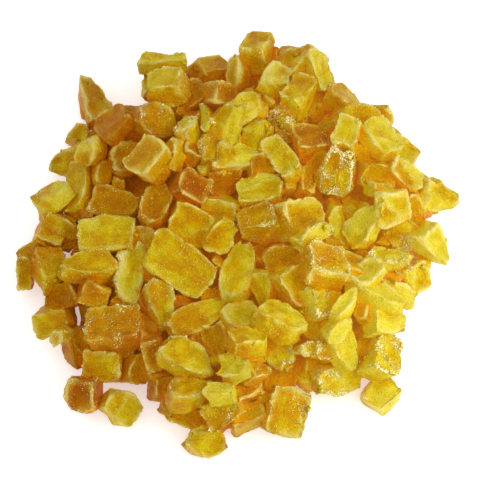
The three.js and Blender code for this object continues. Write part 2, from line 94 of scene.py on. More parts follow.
# the pieces that show, in the order in which they are laid: how far right and up they appear, the way they
# point in degrees, their length, width and cut, their tone, and how much sugar frost they have
# the tones are partly the fruit's own and partly painted shade: pieces that lie low or in shade are given
# deeper tones
VISIBLE = [
    # the rim and the lower pieces
    (-19, 41, 0, 10, 8.2, "dice", 0.35, 0.05),
    (47.3, 12.5, 10, 8, 7.5, "dice", 0.35, 0.05),
    (5, 44.5, 80, 9, 8, "dice", 0.72, 0.05),
    (-12, 37, 40, 10.1, 8.2, "dice", 0.72, 0.05),
    (-27.5, 30.5, 10, 8.7, 7.7, "dice", 0.72, 0.05),
    (-28.5, 22, 30, 9.7, 8.7, "lump", 0.72, 0.05),
    (-44.5, -13.5, 0, 8.7, 7.7, "dice", 0.72, 0.05),
    (-32, 30.5, 44, 10.1, 9.2, "slab", 0.75, 0),
    (-42, 28.3, 60, 6.3, 5.3, "slab", 0.3, 0.2),
    (-6.8, 43.9, 17, 9.1, 6.8, "dice", 0.62, 0),
    (-4.6, 38, -6, 8.1, 6.6, "dice", 0.7, 0.05),
    (5.1, 50.4, 68, 8.7, 7.3, "dice", 0.4, 0.25),
    (0, 44.6, 90, 9.7, 4.6, "leaf", 0.45, 0.1),
    (14.5, 47.8, 35, 10.6, 8.7, "lump", 0.42, 0),
    (20, 35, 60, 8.7, 6.8, "lump", 0.45, 0.2),
    (-12, 24.5, 80, 9.7, 5.8, "slab", 0.6, 0.05),
    (19, 25.7, 12, 9.3, 8.3, "dice", 0.85, 0.05),
    (27, 36.7, -30, 9.2, 8.1, "lump", 0.5, 0.05),
    (36.3, 31.8, -20, 6.9, 6.6, "dice", 0.7, 0),
    (42.4, 22.4, -25, 8.5, 7.5, "dice", 0.42, 0),
    (33, 21.5, -15, 10.6, 5.8, "slab", 0.55, 0.1),
    (35.5, 17.5, 5, 8.7, 7.2, "dice", 0.5, 0.2),
    (43, 17, -35, 9.2, 7.7, "slab", 0.45, 0.05),
    (-49, 7.3, 10, 6.4, 6, "lump", 0.22, 0.1),
    (-47, 2.5, -22, 10.6, 9.2, "dice", 0.5, 0.05),
    (-21, 9, 75, 11.6, 8.2, "lump", 0.68, 0.2),
    (-53, -2.4, 20, 8.5, 6, "slab", 0.5, 0),
    (-55, -8, 88, 8.2, 4.8, "slab", 0.42, 0),
    (-37, -13.5, -15, 7.7, 6.8, "dice", 0.62, 0),
    (-12.7, 14, -22, 8.9, 8.1, "dice", 1.0, 0.05),
    (5.5, 5, 10, 9.7, 8.2, "dice", 0.5, 0.4),
    (15.5, 5.5, 18, 12.1, 10.1, "dice", 0.55, 0.1),
    (11, -3, 12, 9.2, 7.2, "lump", 0.65, 0.1),
    (44.8, 8, -80, 10.1, 6.6, "dice", 0.6, 0),
    (51.9, 11.7, 6, 11.2, 8.9, "shard", 0.38, 0.1),
    (43.5, 2.5, -20, 11.6, 8.2, "lump", 0.55, 0.2),
    (50.2, -3, -45, 10, 8.7, "drop", 0.25, 0.1),
    (45.6, -8.6, -60, 7.5, 7, "dice", 0.38, 0.1),
    (41.5, -13.5, -20, 7.9, 6.2, "slab", 0.35, 0.15),
    (-47.2, -20.3, 6, 8.9, 7.6, "dice", 0.42, 0),
    (-42, -27, -75, 10.1, 5.8, "slab", 0.5, 0.1),
    (-34.6, -31.6, -8, 9.5, 8.8, "dice", 0.48, 0.1),
    (-26.4, -32.6, 80, 8.3, 6, "slab", 0.5, 0.15),
    (-21.5, -28.5, -80, 8.7, 6.3, "dice", 0.72, 0.2),
    (-19.5, -34.2, 88, 7.7, 6, "dice", 0.8, 0),
    (-39.3, -39.2, 88, 8.9, 7.5, "dice", 1.0, 0.25),
    (-30.2, -42.8, -30, 9.8, 8.3, "slab", 0.25, 0.1),
    (-5, -26.5, -75, 9.7, 6.8, "slab", 0.42, 0.1),
    (10.5, -27.5, -60, 9.7, 8.2, "lump", 0.45, 0.45),
    (-14.8, -43.3, -15, 9.4, 6.2, "dice", 0.55, 0.1),
    (2, -44.3, 20, 8.4, 6.5, "dice", 0.45, 0),
    (-8, -50.9, 0, 9.7, 8.7, "lump", 0.4, 0.1),
    (12.2, -43.2, 76, 12.1, 9.7, "dice", 0.6, 0.35),
    (1.5, -37, 20, 9.7, 7.7, "dice", 0.72, 0.05),
    (20.5, -31.5, 5, 10.6, 6.3, "slab", 0.6, 0.1),
    (32.5, -26, 70, 9.7, 6.3, "slab", 0.65, 0),
    (36.8, -39.3, 40, 8.4, 7.6, "dice", 0.4, 0.3),
    (18.5, -21.5, -50, 9.2, 6.8, "slab", 0.4, 0.3),
    # the small bits between them
    (-19, 36.2, 0, 6.3, 3.4, "slab", 0.15, 0.1),
    (-13, 28.6, 60, 6.3, 4.8, "lump", 0.3, 0.4),
    (-16.5, 22.5, 75, 8.7, 3.9, "slab", 0.4, 0.3),
    (-6.5, 19.5, 10, 8.7, 3.9, "shard", 0.15, 0.3),
    (15.3, 33.2, -20, 6.3, 4.3, "slab", 0.4, 0.4),
    (36.5, 14, 10, 5.8, 3.9, "slab", 0.4, 0.2),
    (37.8, -12, 40, 5.3, 4.8, "lump", 0.45, 0.3),
    (32.3, -18.5, 80, 5.3, 4.3, "dice", 0.7, 0),
    (-9, -38.3, 88, 6.3, 3.4, "slab", 0.4, 0.1),
    (16.5, -27.3, 0, 4.6, 4.1, "lump", 0.35, 0.5),
    (21.5, -27.8, 0, 6.8, 5.3, "slab", 0.55, 0.5),
    (-45, -23.8, 0, 3.9, 3.4, "lump", 0.3, 0.3),
    (4.5, -33, 20, 7.2, 5.8, "slab", 0.72, 0.1),
    (13.6, 15.5, 85, 7.7, 3.4, "slab", 0.25, 0.2),
    (17, 15.5, 85, 7.7, 3.9, "slab", 0.6, 0.1),
    # the upper pieces
    (-38.5, 37.2, 112, 13.5, 8.4, "drop", 0.5, 0.1),
    (-18.3, 40.4, 0, 9.3, 8.7, "dice", 0.35, 0.05),
    (-20, 47, -3, 12.3, 4.6, "slab", 0.12, 0.2),
    (-41, 22, 3, 16.9, 8.7, "leaf", 0.42, 0.1),
    (-22, 31.7, -30, 10.1, 9.2, "lump", 0.5, 0.45),
    (-22.4, 21.2, 52, 10.1, 9.2, "dice", 0.55, 0.05),
    (9.4, 42.3, 68, 9.2, 7.1, "slab", 0.2, 0.15),
    (18, 46.5, 48, 11.6, 6.8, "slab", 0.22, 0.05),
    (21.3, 45.2, -72, 10.6, 5.4, "slab", 0.25, 0.1),
    (16, 38.5, 62, 10.6, 7.2, "slab", 0.35, 0.3),
    (11.5, 31, -52, 9.7, 6.3, "shard", 0.45, 0.8),
    (31, 33.4, 10, 11.1, 6.8, "leaf", 0.38, 0.05),
    (28.3, 27.8, 75, 8.7, 6.1, "dice", 0.3, 0.1),
    (37, 27, -58, 11.6, 8.5, "slab", 0.2, 0.2),
    (-41.5, 14, 80, 13, 6.8, "slab", 0.38, 0.25),
    (-48, 11.3, 15, 10.6, 6.6, "leaf", 0.18, 0.25),
    (-31.5, 9.8, -20, 13, 8.2, "slab", 0.6, 0.3),
    (-48.6, -6.8, -68, 9.8, 7.7, "dice", 0.48, 0.1),
    (-39.5, -6.5, 195, 13.5, 9.2, "drop", 0.35, 0.2),
    (39.5, 9, 3, 9.2, 9.2, "dice", 0.5, 0.05),
    (39, -4.5, 12, 10.6, 6.8, "shard", 0.25, 0.5),
    (-31.5, -22.5, 3, 13.5, 10.6, "dice", 0.62, 0.5),
    (-12.6, -39, 15, 10.8, 7.7, "lump", 0.42, 0.3),
    (-3, -43.3, 22, 9.7, 7.7, "dice", 0.5, 0.5),
    (-4, -38.6, 0, 6.8, 4.8, "slab", 0.08, 0.1),
    (25, -35.4, 15, 12.5, 7.7, "slab", 0.35, 0.7),
    (36.6, -29.3, 78, 10.2, 7.4, "dice", 0.42, 0.6),
    (38, -20.5, 10, 9.7, 8.2, "drop", 0.13, 0.05),
    (0, -32, -20, 8.7, 6.3, "shard", 0.15, 0.15),
    (-13.5, -30, -22, 13.5, 9.2, "lump", 0.25, 0.3),
    (2.5, -26.5, 12, 10.1, 6.8, "dice", 0.42, 0.2),
    (12, 21.5, -62, 12.5, 6.8, "slab", 0.32, 0.2),
    (-34, 1.5, 0, 15, 10.1, "slab", 0.25, 0.25),
    (-28, -8.5, 80, 14.5, 8.2, "shard", 0.2, 0.3),
    (-20, -16.5, -76, 12.5, 9.2, "drop", 0.35, 0.4),
    (2.3, 34.3, 20, 9.8, 7.7, "lump", 0.25, 0.1),
    (4.5, 26.2, 60, 12.1, 9.2, "shard", 0.15, 0.3),
    (-4, 27, 74, 17.4, 11.6, "shard", 0.22, 0.3),
    (26, 18.3, 75, 12, 10.2, "lump", 0.5, 0.7),
    (6, 13, 6, 11.6, 8.5, "slab", 0.15, 0.2),
    (-4.5, 9, -15, 10.1, 6.3, "slab", 0.35, 0.2),
    (-12.5, 5, -18, 10.6, 9.7, "dice", 0.42, 0.1),
    (-5, 2, 52, 9.7, 7.2, "slab", 0.36, 0.15),
    (18.5, 1.8, 40, 9.2, 5.3, "slab", 0.28, 0.3),
    (7, -12, -76, 10.1, 6.8, "drop", 0.4, 0.1),
    (14, -11.5, -58, 10.1, 7.7, "dice", 0.42, 0.2),
    (-10.5, -19.5, 30, 16.4, 8.7, "leaf", 0.38, 0.2),
    (1, -20, 16, 10.1, 8.7, "slab", 0.3, 0.1),
    (10.5, -20.5, -24, 11.6, 9.2, "lump", 0.3, 0.1),
    (21.5, -15.5, 22, 10.1, 8.7, "dice", 0.2, 0.7),
    (26, -26.3, -68, 14, 7.2, "leaf", 0.22, 0.1),
    (35.5, -14, -26, 14.5, 6.3, "leaf", 0.1, 0.05),
    (33, -9, 35, 10.1, 7.2, "shard", 0.08, 0.1),
    (27, -16.5, 56, 9.7, 4.8, "leaf", 0.15, 0.1),
    (22, -6, 2, 11.2, 10.2, "dice", 0.65, 0.35),
    (0, -8.5, 76, 15.9, 9.2, "leaf", 0.22, 0.15),
    (-15, -6, -36, 19.3, 12.1, "slab", 0.36, 0.25),
    (25.6, 3.2, -78, 12, 6.4, "shard", 0.05, 0.1),
    (33.4, 4.2, 50, 12, 8, "shard", 0.03, 0.05),
]

# lobes that rise out of larger crumpled pieces, in the same terms, and how far they are sunk into these
LOBES = [
    (-1.2, 22.6, 8, 11.5, 7.5, "shard", 0.18, 0.3),
    (-7.5, 32.5, 100, 7.5, 4.5, "shard", 0.12, 0.4),
    (-38, 24.5, 70, 8, 6, "lump", 0.35, 0.1),
    (25.5, -20.5, 40, 8, 5, "leaf", 0.12, 0.2),
]
LOBE_SUNK = 1.8

# ---------------- pieces and how they are laid


class Draws:
    """A repeatable stream of numbers."""

    FACTOR = 16807
    MODULUS = 2147483647

    def __init__(self, seed):
        self.state = seed

    def __call__(self, low=0.0, high=1.0):
        self.state = (self.state * self.FACTOR) % self.MODULUS
        return low + (high - low) * (self.state / self.MODULUS)


class Piece:
    """One piece of fruit, and where it lies once it is laid."""

    def __init__(self, draw, length, width, spin, cut, tone, frost=0.0):
        self.corners = [[draw(-1, 1) * CORNER_STRAY for _ in range(3)] for _ in range(8)]
        thick, self.thin, self.narrow, self.leaf, self.curl, self.torn = CUTS[cut]
        thickness = thick * draw(*THICKNESS_STRAY)
        self.phases = (draw(0, 2 * math.pi), draw(0, 2 * math.pi))
        self.half = np.array([length / 2, width / 2, thickness / 2])
        self.spin = math.radians(spin)
        self.cut, self.tone, self.frost = cut, tone, frost
        self.round = 0.0

    def form(self, cube):
        """Where points of the cube from -1 to 1 lie on the piece, in its own axes."""
        a, b, c = cube.T
        angle = np.arctan2(b, a)
        outward = np.maximum(abs(a), abs(b))
        tear = np.sin(TEARS * angle + self.phases[0])
        tear = tear + TEARS_FINE_SHARE * np.sin(TEARS_FINE * angle + self.phases[1])
        spread = 1 + self.torn * tear * outward * outward
        end = (a + 1) / 2
        width = (1 - self.narrow * end) * (1 - self.leaf * a * a)
        spread = spread * (1 - self.round * (a * b) ** 4)
        p = np.stack([a * spread, b * width * spread, c * (1 - self.thin * end)], axis=1)
        for i, stray in enumerate(self.corners):
            share = (1 + (a if i & 1 else -a)) * (1 + (b if i & 2 else -b)) * (1 + (c if i & 4 else -c)) / 8
            p += share[:, None] * np.array(stray)
        p *= self.half
        p[:, 2] += self.curl * self.half[0] * a * a
        return p

    def place(self, points):
        """Own axes to the heap's."""
        return points @ self.axes.T + self.at


def feelers():
    """Points spread evenly over a cube's whole surface."""
    t = np.arange(FEELER_STEPS + 1) * 2 / FEELER_STEPS - 1
    i, j = [g.ravel() for g in np.meshgrid(t, t, indexing="ij")]
    faces = []
    for side in (-1, 1):
        s = np.full_like(i, side)
        faces += [np.stack(f, axis=1) for f in ((i, j, s), (i, s, j), (s, i, j))]
    return np.concatenate(faces)


def cell_of(x):
    return np.clip(np.floor((x + MAP_HALF) / CELL).astype(int), 0, CELLS - 1)


def cell_at(x, y):
    return cell_of(x) * CELLS + cell_of(y)


def bed_heights():
    middle = (np.arange(CELLS) + 0.5) * CELL - MAP_HALF
    r = np.hypot(middle[:, None], middle[None, :])
    return (BED_HEIGHT * np.maximum(0, 1 - (r / BED_RADIUS) ** 2)).ravel()


# the height of what has been laid so far in each cell of the map, and whether a piece that shows covers it
FEELERS = feelers()
heights = bed_heights()
covered = np.zeros(CELLS * CELLS, dtype=bool)


def axes_on(spin, sx, sy):
    """Axes of a piece that points along its spin and leans with a slope, as columns."""
    along = np.array([math.cos(spin), math.sin(spin), 0.0])
    along[2] = sx * along[0] + sy * along[1]
    along /= np.linalg.norm(along)
    up = np.array([-sx, -sy, 1.0])
    up /= np.linalg.norm(up)
    return np.stack([along, np.cross(up, along), up], axis=1)


def slope_below(points, x, y):
    """The slope, along x and y, of the plane that fits what lies under a piece."""
    px, py = points[:, 0], points[:, 1]
    z = heights[cell_at(x + px, y + py)]
    z = z - z.mean()
    xx, xy, yy = (px * px).sum(), (px * py).sum(), (py * py).sum()
    xz, yz = (px * z).sum(), (py * z).sum()
    under = xx * yy - xy * xy
    slopes = np.array([xz * yy - yz * xy, yz * xx - xz * xy]) / under
    return np.clip(slopes * LEAN_SHARE, -STEEPEST, STEEPEST)


def settle(piece, x, y):
    """Lets a piece down at (x, y) until it rests on what lies there."""
    points = piece.form(FEELERS)
    slope = slope_below(points @ axes_on(piece.spin, 0, 0).T, x, y)
    axes = axes_on(piece.spin, *slope)
    lying = points @ axes.T
    cells = cell_at(x + lying[:, 0], y + lying[:, 1])
    under = np.full(CELLS * CELLS, np.inf)
    np.minimum.at(under, cells, lying[:, 2])
    met = np.flatnonzero(np.isfinite(under))
    lifts = np.sort(heights[met] - under[met])
    z = max(lifts[int(SETTLED_SHARE * len(lifts))] - PRESSED, -lying[:, 2].min())
    piece.axes, piece.at, piece.lying, piece.cells = axes, np.array([x, y, z]), lying, cells


def bury(piece):
    """Adds a laid piece to the map of heights."""
    np.maximum.at(heights, piece.cells, piece.at[2] + piece.lying[:, 2])


def lay_hidden():
    """The layer of dice under those that show, in staggered rows."""
    laid = []
    draw = Draws(LAYER_SEED)
    row_gap = LAYER_PITCH * math.sqrt(3) / 2
    reach = math.ceil(LAYER_RADIUS / row_gap)
    for row in range(-reach, reach + 1):
        for column in range(-reach, reach + 1):
            x = (column + math.fmod(row, 2) / 2) * LAYER_PITCH + draw(-1, 1) * LAYER_SCATTER
            y = row * row_gap + draw(-1, 1) * LAYER_SCATTER
            length, width = draw(*LAYER_LENGTH), draw(*LAYER_WIDTH)
            piece = Piece(draw, length, width, draw(0, 180), "dice", LAYER_TONE)
            if math.hypot(x, y) > LAYER_RADIUS:
                continue
            settle(piece, x, y)
            bury(piece)
            laid.append(piece)
    return laid


def seed_of(across, up):
    """A seed for each place, the same as in the part."""
    steps = [round(length * SEED_STEPS) + SEED_START for length in (across, up)]
    return steps[0] * SEED_FACTORS[0] + steps[1] * SEED_FACTORS[1]


def lay_visible(across, up, spin, length, width, cut, tone, frost):
    """Lays a piece so that it appears at this place in the picture plane."""
    piece = Piece(Draws(seed_of(across, up)), length, width, spin, cut, tone, frost)
    px, py, pz = SIGHT_POINT
    z = pz
    for _ in range(SIGHT_ROUNDS):
        raised = (z - pz) * math.cos(SIGHT_ELEVATION)
        settle(piece, px + across, py + (up - raised) / math.sin(SIGHT_ELEVATION))
        z = piece.at[2]
    bury(piece)
    covered[piece.cells] = True
    return piece


# ---------------- small pieces in the gaps

BETWEEN_SEED = 90001
BETWEEN_REACH = 52
BETWEEN_STRAY = 0.4  # share of their spacing by which they stray
BETWEEN_SLABS = 0.6  # share of them that are slabs, the rest being lumps
BETWEEN_TONE = (0.45, 0.85)
BETWEEN_THIN = 0.8
BETWEEN_BELOW = (0.5, 2.0)  # how far they stay below the tops round them
BETWEEN_TUCK = 0.3  # how far they stay below the pieces over them, but for a share of their cells
BETWEEN_SHARE = 0.2
BETWEEN_GROUND = 1.0  # they lie on fruit at least this high
BETWEEN_RISE = 0.3  # how much they have to fill a gap
BETWEEN_TOP = 0.01  # a cell whose top is this close below one of them counts as covered
AROUND = 2  # cells each way that count as round a place

# for each layer of them: how far apart they are tried, their lengths and widths
BETWEEN_LAYERS = [
    (4.0, (7, 10), (6, 8)),
    (3.0, (5.5, 8), (4.5, 6)),
    (2.0, (3.5, 5.5), (3, 4.5)),
    (1.6, (2.6, 4.2), (2, 3.4)),
]


def highest_near(values):
    """The map's heights, each the highest of those around it."""
    highest = values.reshape(CELLS, CELLS)
    for axis in (0, 1):
        highest = np.maximum.reduce([np.roll(highest, step, axis) for step in range(-AROUND, AROUND + 1)])
    return highest.ravel()


def small_piece(draw, lengths, widths):
    length, width, spin = draw(*lengths), draw(*widths), draw(0, 180)
    cut = "slab" if draw() < BETWEEN_SLABS else "lump"
    piece = Piece(draw, length, width, spin, cut, draw(*BETWEEN_TONE))
    piece.half[2] = min(piece.half[2] * BETWEEN_THIN, width / 2)
    return piece


def tuck(piece, top):
    """Lowers a piece below this height and under the pieces that show. Tells whether it then fills a gap."""
    peaks = np.full(CELLS * CELLS, -np.inf)
    np.maximum.at(peaks, piece.cells, piece.lying[:, 2])
    met = np.flatnonzero(np.isfinite(peaks))
    room = heights[met] - peaks[met]
    over, free = covered[met], met[~covered[met]]
    z = min(piece.at[2], top - peaks[met].max())
    if over.any():
        z = min(z, np.quantile(room[over], BETWEEN_SHARE) - BETWEEN_TUCK)
    if (z - room[~over]).mean() < BETWEEN_RISE:
        return False
    piece.at[2] = z
    bury(piece)
    covered[free[z + peaks[free] >= heights[free] - BETWEEN_TOP]] = True
    return True


def lay_between(draw, pitch, lengths, widths):
    """Pieces tucked under those that show, so that they are seen only in the gaps between them."""
    laid = []
    steps = round(BETWEEN_REACH / pitch)
    for row in range(-steps, steps + 1):
        around = highest_near(heights)
        for column in range(-steps, steps + 1):
            x = (column + draw(-BETWEEN_STRAY, BETWEEN_STRAY)) * pitch
            y = (row + draw(-BETWEEN_STRAY, BETWEEN_STRAY)) * pitch
            piece = small_piece(draw, lengths, widths)
            below = draw(*BETWEEN_BELOW)
            cell = cell_at(x, y)
            if math.hypot(x, y) > BETWEEN_REACH or covered[cell]:
                continue
            settle(piece, x, y)
            if heights[piece.cells].min() >= BETWEEN_GROUND and tuck(piece, around[cell] - below):
                laid.append(piece)
    return laid


# ---------------- pieces round the foot

FOOT_SEED = 5501
FOOT_TURNS = 144  # how many ways round the heap they are tried
FOOT_STRAY = 0.3
FOOT_RADII = (50, 32)  # where they are tried, from the rim inwards
FOOT_LENGTH = (7, 10)
FOOT_WIDTH = (6, 9)
FOOT_TONE = (0.35, 0.75)
FOOT_LEAN = 0.25
FOOT_DICE = 0.6  # share of them that are dice, the rest being lumps
FOOT_SHIFT = 2.5  # how far forward of its place the fruit that hides a foot piece from the eye lies
FOOT_PROUD = 1.0  # how far a foot piece may stand through the fruit above it
FOOT_HIDDEN = 0.985  # how much of a foot piece has to be hidden
FOOT_INNER = 42  # a foot piece may show in the gaps this far in
FOOT_SHARED = 0.2  # how much of a foot piece may stand inside another


def hidden_share(points):
    """How much of a foot piece lies under fruit that hides it from the eye, or well inside the rim."""
    x, y, z = points.T
    before = cell_at(x, y - FOOT_SHIFT)
    above = covered[before] & (heights[before] > z - FOOT_PROUD)
    inner = np.hypot(x, y) < FOOT_INNER
    return (above | inner).mean()


def lay_foot(draw):
    """Pieces that stand on the table under the heap's rim, where those above hide them from high in front."""
    laid = []
    taken = np.zeros(CELLS * CELLS, dtype=bool)
    for step in range(FOOT_TURNS):
        angle = 2 * math.pi * (step + draw(-FOOT_STRAY, FOOT_STRAY)) / FOOT_TURNS
        cut = "dice" if draw() < FOOT_DICE else "lump"
        piece = Piece(draw, draw(*FOOT_LENGTH), draw(*FOOT_WIDTH), draw(0, 180), cut, draw(*FOOT_TONE))
        piece.axes = axes_on(piece.spin, draw(-FOOT_LEAN, FOOT_LEAN), draw(-FOOT_LEAN, FOOT_LEAN))
        lying = piece.form(FEELERS) @ piece.axes.T
        for radius in range(*FOOT_RADII, -1):
            piece.at = np.array([radius * math.cos(angle), radius * math.sin(angle), -lying[:, 2].min()])
            points = piece.at + lying
            cells = cell_at(points[:, 0], points[:, 1])
            if hidden_share(points) > FOOT_HIDDEN and taken[cells].mean() < FOOT_SHARED:
                taken[cells] = True
                laid.append(piece)
                break
    return laid


def middle_of(pieces):
    """The table's point under the middle of the box round these pieces, where the part has its origin."""
    t = (-1, 0, 1)
    cube = np.array([(a, b, c) for a in t for b in t for c in (-1, 1)], dtype=float)
    corners = np.concatenate([piece.place(piece.form(cube)) for piece in pieces])
    return np.array([*(corners.min(0) + corners.max(0))[:2] / 2, 0.0])


hidden = lay_hidden()
visible = [lay_visible(*row) for row in VISIBLE]
lobes = [lay_visible(*row) for row in LOBES]
for lobe in lobes:
    lobe.at[2] -= LOBE_SUNK
visible += lobes
between_draw = Draws(BETWEEN_SEED)
between = [piece for layer in BETWEEN_LAYERS for piece in lay_between(between_draw, *layer)]
foot = lay_foot(Draws(FOOT_SEED))
origin = middle_of(visible)

# ---------------- surfaces

GRAIN = 0.5  # side of a face on a piece that shows
GRAIN_BETWEEN = 0.7
GRAIN_BELOW = 1.0
FEWEST_FACES = 4  # along each side
SURFACE_SEED = (7907, 12345)
BETWEEN_NUMBERS = 400  # where the numbers that seed the surfaces of the pieces start
BELOW_NUMBERS = 200

# radius of the cut edges, depth of the dished faces, fibres' height, how rough
FINISH = {
    "dice": (0.3, 0.65, 0.05, 1.0),
    "slab": (0.35, 0.6, 0.08, 1.0),
    "leaf": (0.5, 0.35, 0.12, 0.8),
    "drop": (0.6, 0.4, 0.1, 0.9),
    "lump": (1.1, 0.3, 0.06, 1.4),
    "shard": (0.3, 0.5, 0.1, 1.3),
}
RADIUS_STRAY = (0.7, 1.4)
RADIUS_LIMIT = 0.45  # largest radius, as a share of the smallest half side
SWELL = 0.15
RIDGE_SHARE = 0.35  # how many pieces have a ridge across their faces
RIDGE_OFF = 0.35  # how far off the middle it may lie, as a share of the half width
RIDGE_WANDER = 0.9  # how far it wanders, and over how many mm
RIDGE_SIZE = 3.5
RIDGE_TONE = 0.14  # how much its two sides differ in tone
RIDGE_SHARP = 0.5
RIDGE_PALE = 0.8  # it is as pale as a spot this far from an edge
RIDGE_SLOPE = (0.03, 0.09)
DISH_STRAY = (0.6, 1.3)
DISH_WIDTH = 1.0  # how far the rise to an edge reaches in
SIDE_DISH = 0.3  # how deep the sides are dished beside the faces
BITE_DEPTH = 1.5
BITE_SIZE = 1.5
BITE_RARE = 0.1
BITE_REACH = 0.9  # how far the bites reach in from an edge
LUMPS = [(0.5, 5.0, 0.0), (0.2, 1.7, 0.5), (0.1, 0.9, 0.7)]  # height, size and shift of each noise
LUMPS_AT_EDGE = 0.8
STREAK_STRETCH = (0.16, 1, 1)
STREAK_SIZE = 0.8
WARP = 0.75  # how far faces are bent out of true, and how much more of it folded pieces have
WARP_FOLDED = 0.6
WARP_SIZE = 4.5
FOLD = {"shard": 1.0, "lump": 0.5, "drop": 0.4}  # depth of the folds of the crumpled cuts
FOLD_HIGH = 0.3  # how far their crests stand out
FOLD_SIZE = 5.5
CHIPS = 4
CHIP_DEPTH = (0.3, 1.6)
TORN_SHARE = 0.5  # how much of the coarse raggedness and curl is left beside the finer kinds
CURL_SHARE = 0.6
ROUND = (0.0, 0.1)  # how much the corners are drawn in
RIM_STRAY = (-0.6, 0.5)  # how much narrower or wider than usual the pale rim is
RIM_AT_BULGE = 1.2  # how much more of the pale rim there is where the surface turns outward
BULGE_GAIN = 4
LOW_RIM = 2.5  # how much less of the pale rim the lower edges have
DEEPENING = 0.12  # how much deeper the tone gets towards the middle of a face, and over how far
DEEPENING_REACH = 2.2
TONE_LEAN = 0.12
LAMPWARD_PALER = 0.0045  # painted light, paler towards the lamp: how much paler the fruit gets with each mm to the right, the share to the front, the start
LAMPWARD_FRONT = 0.4
LAMPWARD_FROM = 5
PATCH_SIZE = 2.6  # patches of frost: their size, how they vary, how much more there is at edges, how rare
PATCH_VARIES = 1.5
PATCH_AT_EDGE = 1.2
PATCH_REACH = 0.8
PATCH_RARE = 0.7
FROST_GAIN = 1.6
SIDE_STEEP = 0.7  # upward part of the normal below which a face counts as a side

lattices = {}


def lattice(counts):
    """Vertices and faces of a cube's surface cut into the given numbers of fields, closer near its edges."""
    if counts in lattices:
        return lattices[counts]
    grid = np.indices([n + 1 for n in counts]).reshape(3, -1).T
    on = ((grid == 0) | (grid == np.array(counts))).any(1)
    index = np.full(len(grid), -1)
    index[on] = np.arange(on.sum())
    index = index.reshape([n + 1 for n in counts])
    faces = []
    for axis in range(3):
        for end in (0, -1):
            side = np.take(index, end, axis=axis)
            quads = np.stack([side[:-1, :-1], side[1:, :-1], side[1:, 1:], side[:-1, 1:]], axis=-1)
            quads = quads.reshape(-1, 4)
            if (axis == 1) != (end == 0):
                quads = quads[:, ::-1]
            faces.append(quads)
    t = grid[on] / np.array(counts) * 2 - 1
    lattices[counts] = t * (1.2 - 0.2 * t * t), np.concatenate(faces)
    return lattices[counts]


def rough(points, size, shift):
    """Smooth noise from -1 to 1 whose lumps are about this many mm across."""
    rows = points / size + np.array([shift * 17.3, shift * 5.1, 0.0])
    return np.array([noise.noise(Vector(row)) for row in rows])


def normals_of(points, faces):
    a, b, c, d = (points[faces[:, i]] for i in range(4))
    across = np.cross(c - a, d - b)
    total = np.zeros_like(points)
    for i in range(4):
        for axis in range(3):
            total[:, axis] += np.bincount(faces[:, i], across[:, axis], len(points))
    return total / np.maximum(np.linalg.norm(total, axis=1), 1e-12)[:, None]


def mean_of_neighbours(values, faces):
    total = np.zeros_like(values)
    count = np.zeros(len(values))
    for i in range(4):
        here, there = faces[:, i], faces[:, (i + 1) % 4]
        for one, other in ((here, there), (there, here)):
            count += np.bincount(one, minlength=len(values))
            if values.ndim == 1:
                total += np.bincount(one, values[other], len(values))
                continue
            for axis in range(3):
                total[:, axis] += np.bincount(one, values[other, axis], len(values))
    return total / (count[:, None] if values.ndim > 1 else count)


def bulge(points, faces, normals, grain):
    """How sharply the surface turns outward, 0 where it is flat and about 1 on a cut edge."""
    outward = ((points - mean_of_neighbours(points, faces)) * normals).sum(1) / grain
    for _ in range(2):
        outward = mean_of_neighbours(outward, faces)
    return np.clip(outward * BULGE_GAIN, -1, 1)


def chipped(points, draw):
    """Planes shave the corners and leave facets."""
    for _ in range(CHIPS):
        lean = np.array([draw(-1, 1), draw(-1, 1), draw(-0.3, 1)])
        lean /= np.linalg.norm(lean)
        reach = points @ lean
        over = np.maximum(reach - (reach.max() - draw(*CHIP_DEPTH)), 0)
        points = points - lean * over[:, None]
    return points


